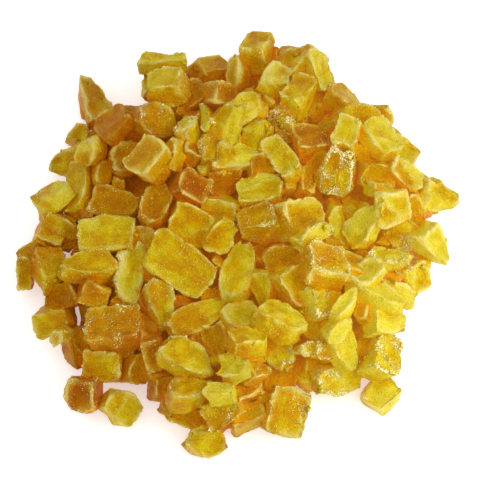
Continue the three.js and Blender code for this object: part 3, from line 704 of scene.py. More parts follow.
class Surface:
    """A piece's surface: a box with rounded edges that is ridged, dished, folded, roughened and chipped."""

    def __init__(self, piece, number, grain):
        self.piece, self.number, self.grain = piece, number, grain
        self.draw = Draws(number * SURFACE_SEED[0] + SURFACE_SEED[1])
        self.half = piece.half + SWELL
        counts = tuple(int(max(FEWEST_FACES, round(2 * h / grain))) for h in self.half)
        self.cube, self.faces = lattice(counts)
        self.box = self.cube * self.half
        self.edge = np.sort(self.half - abs(self.box), axis=1)[:, 1]  # how far each point is from an edge
        self.flat = abs(self.cube[:, 2]) > 0.999  # on the upper or the lower face
        self.fold = FOLD.get(piece.cut, 0.0)

    def noise(self, size, shift, stretch=(1, 1, 1)):
        return rough(self.box * stretch, size, self.number + shift)

    def round_edges(self, radius):
        """Sets the points of a box with rounded edges, and the ways out from it."""
        radius = min(radius * self.draw(*RADIUS_STRAY), RADIUS_LIMIT * self.half.min())
        inner = np.clip(self.box, radius - self.half, self.half - radius)
        out = self.box - inner
        self.out = out / np.maximum(np.linalg.norm(out, axis=1), 1e-9)[:, None]
        self.points = inner + self.out * radius

    def raise_ridge(self):
        """Sets how far points are from an edge or ridge, and how the ridge's two sides differ in tone."""
        draw, box = self.draw, self.box
        turn = draw(0, math.pi)
        across = box[:, 0] * math.cos(turn) + box[:, 1] * math.sin(turn)
        across = across - draw(-RIDGE_OFF, RIDGE_OFF) * self.half[1]
        across = across + RIDGE_WANDER * self.noise(RIDGE_SIZE, 0.15)
        self.near, self.facet = self.edge, np.zeros(len(box))
        if draw() < RIDGE_SHARE:
            self.facet = draw(-RIDGE_TONE, RIDGE_TONE) * np.tanh(across / RIDGE_SHARP)
            self.near = np.where(self.flat, np.minimum(self.edge, abs(across) + RIDGE_PALE), self.edge)
            self.points[:, 2] *= 1 - draw(*RIDGE_SLOPE) * abs(across) / self.half[2]

    def sunk(self, dish):
        """How far points lie below the cut: the faces are dished, the edges bitten."""
        dished = dish * self.draw(*DISH_STRAY) * (1 - np.exp(-((self.near / DISH_WIDTH) ** 2)))
        bites = np.maximum(self.noise(BITE_SIZE, 0.35) - BITE_RARE, 0) * np.exp(-self.edge / BITE_REACH)
        return dished * np.where(self.flat, 1, SIDE_DISH) + BITE_DEPTH * bites

    def roughen(self, dish, stringy, roughness):
        """Bends, folds, streaks and dents the surface."""
        sunk = self.sunk(dish)
        lumps = sum(height * self.noise(size, shift) for height, size, shift in LUMPS)
        lumps = roughness * lumps * (1 + LUMPS_AT_EDGE * np.exp(-self.edge))
        streaks = stringy * self.noise(STREAK_SIZE, 0.9, STREAK_STRETCH)
        warp = [self.noise(WARP_SIZE, 0.05 * k) for k in (1, 2, 3)]
        self.points = self.points + (WARP + WARP_FOLDED * self.fold) * np.stack(warp, axis=1)
        depth = self.fold * min(1.5, self.piece.half[0] / 5)
        folds = depth * (FOLD_HIGH - abs(self.noise(FOLD_SIZE, 0.45)))
        self.points = self.points + self.out * (lumps + streaks + 2 * folds - sunk)[:, None]

    def look(self, own, normals):
        """What the material and the strewing read at each point."""
        piece, draw, near = self.piece, self.draw, self.near
        near = near - RIM_AT_BULGE * np.maximum(bulge(self.points, self.faces, normals, self.grain), 0)
        lean = np.array([draw(-1, 1), draw(-1, 1), draw(-1, 0)])
        tone = piece.tone + DEEPENING * (1 - np.exp(-near / DEEPENING_REACH)) - DEEPENING / 2
        tone = tone + TONE_LEAN * self.cube @ lean + self.facet
        x, y = self.points[:, 0], self.points[:, 1]
        # painted light: the fruit is paler towards the lamp
        tone = tone - LAMPWARD_PALER * np.maximum(x - LAMPWARD_FRONT * y + LAMPWARD_FROM, 0)
        patches = PATCH_VARIES * self.noise(PATCH_SIZE, 0.6) + PATCH_AT_EDGE * np.exp(-near / PATCH_REACH)
        patches = np.clip(patches + piece.frost - PATCH_RARE, 0, 1)
        frost = patches * min(1, piece.frost * FROST_GAIN) * np.clip(0.5 + normals[:, 2], 0, 1)
        side = np.clip((SIDE_STEEP - normals[:, 2]) / SIDE_STEEP, 0, 1)
        values = {"near": near, "tone": np.clip(tone, 0, 1), "frost": frost, "side": side}
        values.update(own=own, sweet=np.full(len(own), piece.frost))
        return values

    def made(self):
        """The points, faces and values of the finished surface where the piece lies."""
        piece, draw = self.piece, self.draw
        radius, dish, stringy, roughness = FINISH[piece.cut]
        self.round_edges(radius)
        self.raise_ridge()
        self.roughen(dish, stringy, roughness)
        points = chipped(self.points, draw)
        own = points + np.array([draw(0, 90), draw(0, 90), draw(0, 90)])
        piece.round = draw(*ROUND)
        piece.torn *= TORN_SHARE
        piece.curl *= CURL_SHARE
        self.near = self.near + draw(*RIM_STRAY) + LOW_RIM * np.clip(-self.cube[:, 2], 0, 1)
        self.points = piece.place(piece.form(points / self.half) * (self.half / piece.half))
        return self.points, self.faces, self.look(own, normals_of(self.points, self.faces))


def surfaces_of(pieces, first_number, grain):
    return [Surface(piece, first_number + i, grain).made() for i, piece in enumerate(pieces)]


def new_object(name, points, faces, values):
    """A mesh object from points in mm, in the heap's own frame, with values at its points."""
    points = (points - origin) * MM
    points[:, 2] = np.maximum(points[:, 2], 0)
    mesh = bpy.data.meshes.new(name)
    mesh.vertices.add(len(points))
    mesh.vertices.foreach_set("co", points.ravel())
    mesh.loops.add(faces.size)
    mesh.loops.foreach_set("vertex_index", faces.ravel().astype(np.int32))
    mesh.polygons.add(len(faces))
    mesh.polygons.foreach_set("loop_start", np.arange(0, faces.size, faces.shape[1], dtype=np.int32))
    mesh.update(calc_edges=True)
    mesh.validate()
    mesh.shade_smooth()
    for key, value in values.items():
        if value.ndim > 1:
            mesh.attributes.new(key, "FLOAT_VECTOR", "POINT").data.foreach_set("vector", value.ravel())
        else:
            mesh.attributes.new(key, "FLOAT", "POINT").data.foreach_set("value", value)
    piece = bpy.data.objects.new(name, mesh)
    bpy.context.scene.collection.objects.link(piece)
    return piece


def joined(name, parts):
    """One mesh object of many surfaces, each of points, faces and values."""
    base = 0
    faces = []
    for points, around, _ in parts:
        faces.append(around + base)
        base += len(points)
    values = {key: np.concatenate([part[2][key] for part in parts]) for key in parts[0][2]}
    return new_object(name, np.concatenate([part[0] for part in parts]), np.concatenate(faces), values)


# ---------------- materials

# screen colours from 0 to 255, those in lists by tone; GLOW is that of light through the fruit, and the
# shaded flesh and sugar colours are painted shade in sides and gaps
FLESH = [(0.0, (219, 203, 54)), (0.2, (210, 181, 10)), (0.4, (199, 149, 0)),
         (0.6, (192, 127, 0)), (0.8, (181, 106, 0)), (1.0, (166, 85, 1))]
RIM = [(0.0, (226, 208, 100)), (0.5, (216, 187, 70)), (1.0, (198, 149, 44))]
# painted shade: the brighter amber that sides and gaps take, for light that has come through the fruit
SHADED_FLESH = [(0.0, (248, 225, 50)), (0.3, (249, 205, 10)), (0.6, (249, 178, 4)), (1.0, (244, 142, 6))]
PIT = [(0.0, (178, 150, 12)), (0.5, (164, 106, 0)), (1.0, (128, 58, 0))]
GLOW = [(0.0, (150, 134, 22)), (0.5, (148, 116, 24)), (1.0, (138, 98, 26))]
EDGE = (232, 218, 136)
GLINT = (248, 228, 112)
FROST = (238, 222, 150)
SUGAR = (252, 236, 168)
SHADED_SUGAR = (230, 180, 90)
BLACK = (0, 0, 0, 1)
GLOW_STRENGTH = 0.48

# noises over the flesh, in waves to each mm
MOTTLE_SCALE = 0.28
STREAKS_SCALE = 1.0
STREAKS_STRETCH = (0.16, 1.1, 1.1)
GRAIN_SCALE = 2.6
GLITTER_SCALE = 3.4
PITS_SCALE = 3.2
DOTS_SCALE = 1.5
FINE_DETAIL = 3
COARSE_DETAIL = 2

# how much the noises and the painted shade of fruit close by deepen the tone, and what takes their mean off
# again
MOTTLE_TONE = 0.9
STREAKS_TONE = 0.35
GAP_SHADE_TONE = 0.32
MEAN_TONE = -0.6

# the pale rims, pale dry edges that are partly painted highlight: from where to where they fade in, how
# ragged they are, how faint on sides and in gaps, where their fading is painted shade
SOFT_RIM = (3.8, 1.2)
CRISP_RIM = (2.2, 1.7)
CRISP_SHARE = 0.5
GRAIN_RAGGED = 1.6
MOTTLE_RAGGED = 2.4
SIDE_RIM = -0.55
GAP_SHADE_RIM = -1.4

# bright dots: how many cells have one, how large it is, where they lie and how strong they are
DOT_CHOSEN = (0.35, 0.6)
DOT_EDGE = (0.34, 0.14)
DOT_PATCHES = (0.42, 0.6)
DOT_STRONG = 0.32
DOT_LEAST = 0.04

# painted shade on the sides, dark pits, and frost
SIDE_SHADE = 0.3
PIT_EDGE = (0.5, 0.36)
PIT_STRONG = 0.64
PIT_ON_RIM = -0.4
GLITTER_STRONG = 3.0
CRUST_EDGE = (1.95, 2.5)
FROST_EDGE = (0.02, 0.5)
FROST_STRONG = 0.55

# gloss and relief
ROUGH_LEAST = 0.15
ROUGH_VARIES = 0.35
RELIEF = 0.0007
RELIEF_STREAKS = 0.4
RELIEF_FROST = 0.6
RELIEF_GLINTS = 0.2
SPECULAR = 0.34
SPECULAR_TINT = (1.0, 0.75, 0.12, 1)
CRYSTAL_SCALE = 2600
CRYSTAL_CLOUD = 0.5
CRYSTAL_ROUGH = (0.3, 0.1)
CRYSTAL_SPECULAR = 0.5


def linear(r, g, b):
    """A screen colour from 0 to 255 as a light value."""
    def one(v):
        v /= 255
        return v / 12.92 if v <= 0.04045 else ((v + 0.055) / 1.055) ** 2.4
    return (one(r), one(g), one(b), 1)


class Nodes:
    """Short names for making a material's nodes."""

    def __init__(self, name):
        self.material = bpy.data.materials.new(name)
        self.material.use_nodes = True
        self.tree = self.material.node_tree
        self.shader = self.tree.nodes["Principled BSDF"]

    def new(self, kind, **links):
        node = self.tree.nodes.new(kind)
        for socket, value in links.items():
            self.put(node.inputs[socket.replace("_", " ")], value)
        return node

    def put(self, socket, value):
        if isinstance(value, bpy.types.NodeSocket):
            self.tree.links.new(value, socket)
        else:
            socket.default_value = value

    def attribute(self, name, output="Fac"):
        node = self.new("ShaderNodeAttribute")
        node.attribute_name = name
        return node.outputs[output]

    def math(self, operation, a, b=0.0, c=0.0, clamp=False):
        node = self.new("ShaderNodeMath")
        node.operation = operation
        node.use_clamp = clamp
        for socket, value in zip(node.inputs, (a, b, c)):
            self.put(socket, value)
        return node.outputs[0]

    def times(self, a, b):
        return self.math("MULTIPLY", a, b)

    def plus_share(self, base, value, share, clamp=False):
        """The base plus this share of the value."""
        return self.math("MULTIPLY_ADD", value, share, base, clamp)

    def noise(self, place, scale, detail, stretch=None):
        if stretch:
            place = self.new("ShaderNodeMapping", Vector=place, Scale=stretch).outputs[0]
        return self.new("ShaderNodeTexNoise", Vector=place, Scale=scale, Detail=detail).outputs["Fac"]

    def ramp(self, factor, stops):
        node = self.new("ShaderNodeValToRGB", Fac=factor)
        elements = node.color_ramp.elements
        while len(elements) < len(stops):
            elements.new(0.5)
        for element, (place, colour) in zip(elements, stops):
            element.position = place
            element.color = linear(*colour)
        return node.outputs["Color"]

    def mix(self, factor, a, b):
        node = self.new("ShaderNodeMix")
        node.data_type = "RGBA"
        self.put(node.inputs["Factor"], factor)
        self.put(node.inputs[6], a)
        self.put(node.inputs[7], b)
        return node.outputs[2]

    def between(self, value, low, high):
        """0 at low and 1 at high, smooth between."""
        node = self.new("ShaderNodeMapRange", Value=value)
        node.interpolation_type = "SMOOTHSTEP"
        node.inputs["From Min"].default_value = low
        node.inputs["From Max"].default_value = high
        return node.outputs[0]


def bright_dots(n, own):
    """Small round grains, in some of the cells of a pattern."""
    cells = n.new("ShaderNodeTexVoronoi", Vector=own, Scale=DOTS_SCALE)
    chosen = n.between(cells.outputs["Color"], *DOT_CHOSEN)
    return n.times(n.between(cells.outputs["Distance"], *DOT_EDGE), chosen)


def flesh_tone(n, mottle, streaks, gap_shade):
    """The piece's own tone, mottled and streaked, and deeper as painted shade where other fruit keeps light
    off.
    """
    tone = n.plus_share(n.attribute("tone"), mottle, MOTTLE_TONE)
    tone = n.plus_share(tone, streaks, STREAKS_TONE)
    # painted shade: the tone deepens where other fruit keeps light off
    tone = n.plus_share(tone, gap_shade, GAP_SHADE_TONE)
    return n.math("ADD", tone, MEAN_TONE)


def pale_rims(n, grain, mottle, side, gap_shade):
    """How much of the soft and of the crisp rim there is: pale dry edges and partly painted highlight, faded
    as painted shade on sides and in gaps.
    """
    # painted shade: the rims fade on sides and where other fruit keeps light off
    bare = n.times(n.plus_share(1.0, side, SIDE_RIM), n.plus_share(1.0, gap_shade, GAP_SHADE_RIM, clamp=True))
    near = n.plus_share(n.attribute("near"), grain, GRAIN_RAGGED)
    near = n.plus_share(near, mottle, MOTTLE_RAGGED)
    return [n.times(n.between(near, *rim), bare) for rim in (SOFT_RIM, CRISP_RIM)]


def glints_on(n, dots, mottle):
    """The bright dots, most of them on frost and in patches."""
    patchy = n.between(mottle, *DOT_PATCHES)
    grainy = n.math("ADD", n.plus_share(DOT_LEAST, patchy, DOT_STRONG), n.attribute("frost"), clamp=True)
    return n.times(dots, grainy)


def pits_in(n, own, soft):
    """Small dark pits, fewer on the rims."""
    pits = n.between(n.noise(own, PITS_SCALE, FINE_DETAIL), *PIT_EDGE)
    return n.times(pits, n.plus_share(PIT_STRONG, soft, PIT_ON_RIM))


def frost_on(n, glitter):
    """Broken patches of sugar frost."""
    crust = n.plus_share(n.attribute("frost"), glitter, GLITTER_STRONG)
    frost = n.times(n.between(crust, *CRUST_EDGE), n.between(n.attribute("frost"), *FROST_EDGE))
    return n.times(frost, FROST_STRONG)


def add_relief(n, grain, streaks, frost, glints):
    """Sets the fine relief and the gloss."""
    n.put(n.shader.inputs["Roughness"], n.plus_share(ROUGH_LEAST, grain, ROUGH_VARIES))
    height = n.plus_share(grain, streaks, RELIEF_STREAKS)
    height = n.plus_share(height, frost, RELIEF_FROST)
    height = n.plus_share(height, glints, RELIEF_GLINTS)
    bump = n.new("ShaderNodeBump", Height=height, Strength=1.0, Distance=RELIEF)
    n.put(n.shader.inputs["Normal"], bump.outputs[0])
    n.shader.inputs["Specular IOR Level"].default_value = SPECULAR
    n.shader.inputs["Specular Tint"].default_value = SPECULAR_TINT


def flesh_material():
    """Clear golden flesh with pale dry rims that are partly painted highlight, fibres, fine grain, patches of
    sugar frost and painted glints, with painted shade on sides and in gaps and a glow for light through the
    fruit.
    """
    n = Nodes("dried_mango_flesh")
    own = n.attribute("own", "Vector")
    mottle = n.noise(own, MOTTLE_SCALE, FINE_DETAIL)
    streaks = n.noise(own, STREAKS_SCALE, FINE_DETAIL, STREAKS_STRETCH)
    grain = n.noise(own, GRAIN_SCALE, FINE_DETAIL)
    glitter = n.noise(own, GLITTER_SCALE, COARSE_DETAIL)
    dots = bright_dots(n, own)
    side, gap_shade = n.attribute("side"), n.attribute("gap_shade")
    tone = flesh_tone(n, mottle, streaks, gap_shade)
    soft, crisp = pale_rims(n, grain, mottle, side, gap_shade)
    glints = glints_on(n, dots, mottle)
    frost = frost_on(n, glitter)
    colour = n.mix(soft, n.ramp(tone, FLESH), n.ramp(tone, RIM))
    # partly painted highlight: a crisp pale line along the edges
    colour = n.mix(n.times(crisp, CRISP_SHARE), colour, linear(*EDGE))
    # painted glints: bright dots in the colour, partly pale sugar grains
    colour = n.mix(glints, colour, linear(*GLINT))
    # painted shade: sides and gaps take the shaded flesh colour
    colour = n.mix(n.plus_share(gap_shade, side, SIDE_SHADE, clamp=True), colour, n.ramp(tone, SHADED_FLESH))
    colour = n.mix(pits_in(n, own, soft), colour, n.ramp(tone, PIT))
    colour = n.mix(frost, colour, linear(*FROST))
    n.put(n.shader.inputs["Base Color"], colour)
    n.shader.inputs["Emission Color"].default_value = BLACK
    n.put(n.shader.inputs["Emission Color"], n.mix(n.attribute("glow"), BLACK, n.ramp(tone, GLOW)))
    n.shader.inputs["Emission Strength"].default_value = GLOW_STRENGTH
    add_relief(n, grain, streaks, frost, glints)
    return n.material


def sugar_material():
    """Clear to milky crystals, with painted shade where other fruit keeps light off."""
    n = Nodes("sugar_crystals")
    own = n.new("ShaderNodeTexCoord").outputs["Object"]
    cloud = n.noise(own, CRYSTAL_SCALE, COARSE_DETAIL)
    milky = n.plus_share(n.attribute("pale"), cloud, CRYSTAL_CLOUD, clamp=True)
    colour = n.mix(milky, linear(*GLINT), linear(*SUGAR))
    # painted shade: crystals in gaps take a deeper amber
    colour = n.mix(n.attribute("gap_shade"), colour, linear(*SHADED_SUGAR))
    varies, least = CRYSTAL_ROUGH
    n.put(n.shader.inputs["Base Color"], colour)
    n.put(n.shader.inputs["Roughness"], n.plus_share(least, cloud, varies))
    n.shader.inputs["Specular IOR Level"].default_value = CRYSTAL_SPECULAR
    return n.material


# ---------------- light kept out or let through

SKY_DIRECTIONS = 28
SKY_LOWEST = -0.4
SKY_REACH = 9.0  # how far off fruit still takes light away
SKY_OPEN = 0.72  # share of open sky above which a spot counts as bare, and below which it is shut
SKY_SHUT = 0.12
SKY_CLEAR = 0.12  # how far off the surface the rays start
SKY_GRAZING = 0.1  # rays closer to the surface than this aren't cast
LIT_WIDTH = 90.0  # the lamp's light through the fruit fades to the left over this width, and to this least
LIT_MIDDLE = 0.5
LIT_LEAST = 0.05
AWAY = 0.75  # how much of it comes through surfaces that face away from the lamp, and from which turn on
AWAY_FROM = 0.4
UPRIGHT = np.array([0.0, 0.0, 1.0])


def way_of(azimuth, elevation):
    """The direction with these angles in degrees."""
    a, e = math.radians(azimuth), math.radians(elevation)
    return np.array([math.cos(a) * math.cos(e), math.sin(a) * math.cos(e), math.sin(e)])


LAMP_WAY = way_of(LAMP_AZIMUTH, LAMP_ELEVATION)


def sky_directions():
    """Directions spread evenly over the sky and a little below it."""
    turn = math.pi * (3 - math.sqrt(5))
    z = SKY_LOWEST + (1 - SKY_LOWEST) * (np.arange(SKY_DIRECTIONS) + 0.5) / SKY_DIRECTIONS
    r = np.sqrt(1 - z * z)
    t = turn * np.arange(SKY_DIRECTIONS)
    return np.stack([r * np.cos(t), r * np.sin(t), z], axis=1)


def tree_of(parts):
    """A search tree of all the given surfaces."""
    points = np.concatenate([part[0] for part in parts])
    starts = np.cumsum([0] + [len(part[0]) for part in parts])
    faces = np.concatenate([part[1] + start for part, start in zip(parts, starts)])
    return BVHTree.FromPolygons(points.tolist(), faces.tolist())


def glow(points, normals, gap_shade):
    """How much of the lamp's light comes through the fruit, from 0 to 1: most on the lamp's side."""
    reached = np.clip(LIT_MIDDLE + points[:, 0] / LIT_WIDTH, LIT_LEAST, 1)
    away = np.clip(AWAY_FROM - normals @ LAMP_WAY, 0, 1)
    return np.clip(gap_shade + AWAY * away, 0, 1) * reached


def open_sky_at(points, normals, tree):
    """The share of the sky that each point sees, past the fruit close to it."""
    directions = sky_directions()
    rays = [Vector(d) for d in directions]
    facing = normals @ directions.T
    seen = np.zeros(len(points))
    for i, place in enumerate(points + SKY_CLEAR * normals):
        start = Vector(place)
        for k in np.flatnonzero(facing[i] > SKY_GRAZING):
            if tree.ray_cast(start, rays[k], SKY_REACH)[0] is None:
                seen[i] += facing[i, k]
    return seen / (np.where(facing > SKY_GRAZING, facing, 0).sum(1) + 0.01)


def shade_by_sky(parts, tree):
    """Sets how much light the fruit around keeps from each point, and how much comes through, from 0 to 1."""
    for points, faces, values in parts:
        normals = normals_of(points, faces)
        open_sky = open_sky_at(points, normals, tree)
        for _ in range(2):
            open_sky = 0.5 * open_sky + 0.5 * mean_of_neighbours(open_sky, faces)
        values["gap_shade"] = np.clip((SKY_OPEN - open_sky) / (SKY_OPEN - SKY_SHUT), 0, 1)
        values["glow"] = glow(points, normals, values["gap_shade"])


# ---------------- the core, sugar, crumbs and fibres

DOME_RADIUS = 40
DOME_HEIGHT = 12.5
DOME_RINGS = 40
DOME_SIDES = 120
DOME_RAGGED = (0.06, 9)  # how ragged its outline is, as a share, and over how many mm
DOME_LUMPS = (1.5, 6)
DOME_FOOT = 0.5  # it isn't lumpy below this height
DOME_NEAR = 9  # so far from an edge that it has no pale rim
DOME_TONE = 0.95

SUGAR_SEED = 7
SUGAR_SIZE = (0.06, 0.16)  # half the length of a sugar crystal
SUGAR_SHAPE = (0.6, 1.2)
SUGAR_LOOSE = 0.65  # crystals on each square millimetre, on bare patches and on frosted ones
SUGAR_CRUST = 5.0
SUGAR_SHUT = -0.8  # how many more there are in the gaps
CRUMB_SEED = 11
CRUMB_SIZE = (0.15, 0.7)
CRUMB_SHAPE = (0.3, 1.0)
CRUMB_FIELDS = 3
CRUMB_ROUGH = 0.22
CRUMB_ROUGH_LIMIT = 1.5
CRUMB_LOOSE = 0.008
CRUMB_CRUST = 0.25
CRUMB_SHUT = 5.0
CRUMB_TONE = (-0.3, 0.1)  # how much its tone differs from that of the fruit it lies on
CRUMB_NEAR = (0.5, 3.0)
# painted shade: crumbs get this much more gap shade than the fruit they lie on, which deepens their colour
CRUMB_GAP_SHADE = 0.1
CRUMB_GLOW = 0.4
PALE_STRAY = 0.3
PROUD = 0.3  # how far strewn things stand off the fruit, as a share of their size
BURIED = 3.0  # nothing is strewn further below the heap's top than this
FACING = -0.1  # nor on faces that point further down
GATHERED = (2.5, 3.0, 0.25)  # how patchily the loose ones lie, the patches' size, and how common they are
AT_EDGE = (1.5, 0.7)  # how many more lie at edges, and how far in
SWEET = 9  # how many more lie on the sweetest pieces

# each tuft: how far right and up it appears, how wide it spreads, how many fibres it has
FIBRE_SPOTS = [
    (43.5, -0.5, 1.8, 70),
    (45, -5.5, 1.5, 30),
    (42, -8.5, 1.0, 12),
    (26, 20, 3.5, 24),
    (21, -3, 3.0, 14),
]
FIBRE_SEED = 13
FIBRE_LENGTH = (0.8, 3.6)
FIBRE_RADIUS = (0.05, 0.13)
FIBRE_STEPS = 6
FIBRE_SIDES = 3
FIBRE_TAPER = 0.8
FIBRE_RISE = 0.6
FIBRE_BEND = 0.35
FIBRE_LIFT = 0.1
FIBRE_PALE = 0.8
ASIDE = (0.3, 0.5, 0.8)  # fixes how the rings of a fibre are turned
FAR_OFF = 100  # how far off a look at the fruit starts


def core_surface():
    """A low lumpy dome under the pieces."""
    shares = 1 - np.arange(DOME_RINGS) / DOME_RINGS
    share, turn = np.meshgrid(shares, 2 * math.pi * np.arange(DOME_SIDES) / DOME_SIDES, indexing="ij")
    points = np.stack([np.cos(turn), np.sin(turn), 1 / share - share], axis=-1) * share[..., None]
    points = points.reshape(-1, 3) * (DOME_RADIUS, DOME_RADIUS, DOME_HEIGHT)
    points = np.concatenate([points, [(0, 0, DOME_HEIGHT), (0, 0, 0)]])
    points[:, :2] *= 1 + DOME_RAGGED[0] * rough(points, DOME_RAGGED[1], 0.3)[:, None]
    points[:, 2] += DOME_LUMPS[0] * rough(points, DOME_LUMPS[1], 0.7) * (points[:, 2] > DOME_FOOT)
    flat = np.zeros(len(points))
    # painted shade: the dome takes full gap shade and the deepest tone, as fruit deep in the heap
    shut = flat + 1
    values = {"near": flat + DOME_NEAR, "tone": flat + DOME_TONE, "frost": flat, "gap_shade": shut}
    values.update(glow=glow(points, UPRIGHT, shut), side=flat, own=points.copy())
    return points, core_faces(), values


def core_faces():
    """Triangles between the dome's rings, round its top and over its foot."""
    index = np.arange(DOME_RINGS * DOME_SIDES).reshape(DOME_RINGS, DOME_SIDES)
    after = np.roll(index, -1, axis=1)
    low, low_next, high, high_next = (g.ravel() for g in (index[:-1], after[:-1], index[1:], after[1:]))
    top = np.full(DOME_SIDES, index.size)
    faces = [(low, low_next, high_next), (low, high_next, high)]
    faces += [(index[-1], after[-1], top), (after[0], index[0], top + 1)]
    return np.concatenate([np.stack(f, axis=1) for f in faces])


def rate_on(own, value, normal, loose, crust, shut):
    """How many small things lie on each square millimetre of each face: more where there is frost."""
    strong, size, common = GATHERED
    more, reach = AT_EDGE
    patch = np.clip(strong * rough(own, size, 0.5) + common, 0, 1)
    grainy = 1 + more * np.exp(-value["near"] / reach) + SWEET * value["sweet"] ** 2
    rate = loose * patch * grainy + crust * value["frost"] ** 2
    return rate * (1 + shut * value["gap_shade"]) * (normal[:, 2] > FACING)


def strewn(parts, random, *rates):
    """Places on the fruit for small things, with the normals, frost, tones and gap shade there."""
    found = []
    for points, faces, values in parts:
        a, b, c, d = (points[faces[:, i]] for i in range(4))
        across = np.cross(c - a, d - b)
        area = np.linalg.norm(across, axis=1)
        normal = across / np.maximum(area, 1e-9)[:, None]
        value = {key: values[key][faces].mean(1) for key in ("frost", "tone", "gap_shade", "near", "sweet")}
        rate = rate_on(values["own"][faces[:, 0]], value, normal, *rates)
        chosen = np.repeat(np.arange(len(faces)), random.poisson(rate * area / 2))
        s, t = random.random((2, len(chosen), 1))
        low, high = a[chosen] * (1 - s) + b[chosen] * s, d[chosen] * (1 - s) + c[chosen] * s
        place = low * (1 - t) + high * t
        seen = place[:, 2] > heights[cell_at(place[:, 0], place[:, 1])] - BURIED
        at_places = [each[chosen] for each in (normal, value["frost"], value["tone"], value["gap_shade"])]
        found.append([each[seen] for each in (place, *at_places)])
    return [np.concatenate(each) for each in zip(*found)]


def random_turns(random, count):
    """Random turns, as matrices."""
    q = random.normal(size=(4, count))
    w, x, y, z = q / np.linalg.norm(q, axis=0)
    return np.stack([
        np.stack([1 - 2 * (y * y + z * z), 2 * (x * y - z * w), 2 * (x * z + y * w)], axis=-1),
        np.stack([2 * (x * y + z * w), 1 - 2 * (x * x + z * z), 2 * (y * z - x * w)], axis=-1),
        np.stack([2 * (x * z - y * w), 2 * (y * z + x * w), 1 - 2 * (x * x + y * y)], axis=-1),
    ], axis=1)


def copies(shape, faces, places, sizes, turns):
    """Many turned copies of one small shape as points and faces."""
    points = np.einsum("nij,nkj->nki", turns, shape * sizes[:, None, :]) + places[:, None, :]
    base = np.arange(len(places)) * shape.shape[-2]
    return points.reshape(-1, 3), (faces[None] + base[:, None, None]).reshape(-1, faces.shape[1])


def sugar(parts):
    """Small sugar crystals, blunt double pyramids, thick on the frosted patches and thin elsewhere."""
    random = np.random.default_rng(SUGAR_SEED)
    places, normals, frosts, _, gap_shades = strewn(parts, random, SUGAR_LOOSE, SUGAR_CRUST, SUGAR_SHUT)
    count = len(places)
    corners = np.array([(1, 0, 0), (0, 1, 0), (-1, 0, 0), (0, -1, 0), (0, 0, 1), (0, 0, -1)], dtype=float)
    sides = np.array([(0, 1, 4), (1, 2, 4), (2, 3, 4), (3, 0, 4), (1, 0, 5), (2, 1, 5), (3, 2, 5), (0, 3, 5)])
    sizes = random.uniform(*SUGAR_SIZE, (count, 1)) * random.uniform(*SUGAR_SHAPE, (count, 3))
    sizes = sizes * (1 + frosts[:, None])
    places = places + PROUD * normals * sizes
    points, faces = copies(corners[None], sides, places, sizes, random_turns(random, count))
    pale = np.clip(frosts + random.uniform(-PALE_STRAY, PALE_STRAY, count), 0, 1)
    return points, faces, {key: np.repeat(v, len(corners)) for key, v in (("pale", pale), ("gap_shade", gap_shades))}


def crumbs(parts):
    """Torn-off crumbs of the same fruit, lying on it."""
    random = np.random.default_rng(CRUMB_SEED)
    places, normals, _, tones, gap_shades = strewn(parts, random, CRUMB_LOOSE, CRUMB_CRUST, CRUMB_SHUT)
    count = len(places)
    cube, sides = lattice((CRUMB_FIELDS, CRUMB_FIELDS, CRUMB_FIELDS))
    ragged = random.normal(size=(count, len(cube), 1)).clip(-CRUMB_ROUGH_LIMIT, CRUMB_ROUGH_LIMIT)
    shape = cube[None] * (1 + CRUMB_ROUGH * ragged)
    sizes = random.uniform(*CRUMB_SIZE, (count, 1)) * random.uniform(*CRUMB_SHAPE, (count, 3))
    places = places + PROUD * normals * sizes
    points, faces = copies(shape, sides, places, sizes, random_turns(random, count))
    tone = np.clip(tones + random.uniform(*CRUMB_TONE, count), 0, 1)
    near = random.uniform(*CRUMB_NEAR, count)
    # painted shade: crumbs are given extra gap shade
    gap_shade = np.clip(gap_shades + CRUMB_GAP_SHADE, 0, 1)
    each = {"near": near, "tone": tone, "gap_shade": gap_shade, "frost": np.zeros(count), "side": np.zeros(count)}
    values = {key: np.repeat(value, len(cube)) for key, value in each.items()}
    values.update(glow=CRUMB_GLOW * glow(points, UPRIGHT, values["gap_shade"]), own=points.copy())
    return points, faces, values


def seen_at(tree, across, up):
    """The fruit's surface that shows at a place in the picture plane, and its normal."""
    point = Vector(SIGHT_POINT) + Vector((across, up / math.sin(SIGHT_ELEVATION), 0)) + TOWARDS_EYE * FAR_OFF
    place, normal, _, _ = tree.ray_cast(point, -TOWARDS_EYE)
    return place, normal


def fibre(random, place, normal):
    """The points of one bent fibre that tapers, ring by ring from its root."""
    ring = np.array([(math.cos(t), math.sin(t)) for t in (0, 2 * math.pi / 3, 4 * math.pi / 3)])
    highest = heights.max()
    points = []
    way = random.normal(size=3) + FIBRE_RISE * normal
    length, radius = random.uniform(*FIBRE_LENGTH), random.uniform(*FIBRE_RADIUS)
    for step in range(FIBRE_STEPS):
        way = way / np.linalg.norm(way)
        side = np.cross(way, ASIDE)
        side /= np.linalg.norm(side)
        around = ring @ np.stack([side, np.cross(way, side)])
        points.append(place + around * radius * (1 - FIBRE_TAPER * step / (FIBRE_STEPS - 1)))
        place = place + way * length / FIBRE_STEPS
        place[2] = min(place[2], highest)
        way = way + FIBRE_BEND * random.normal(size=3) + FIBRE_LIFT * normal
    return points


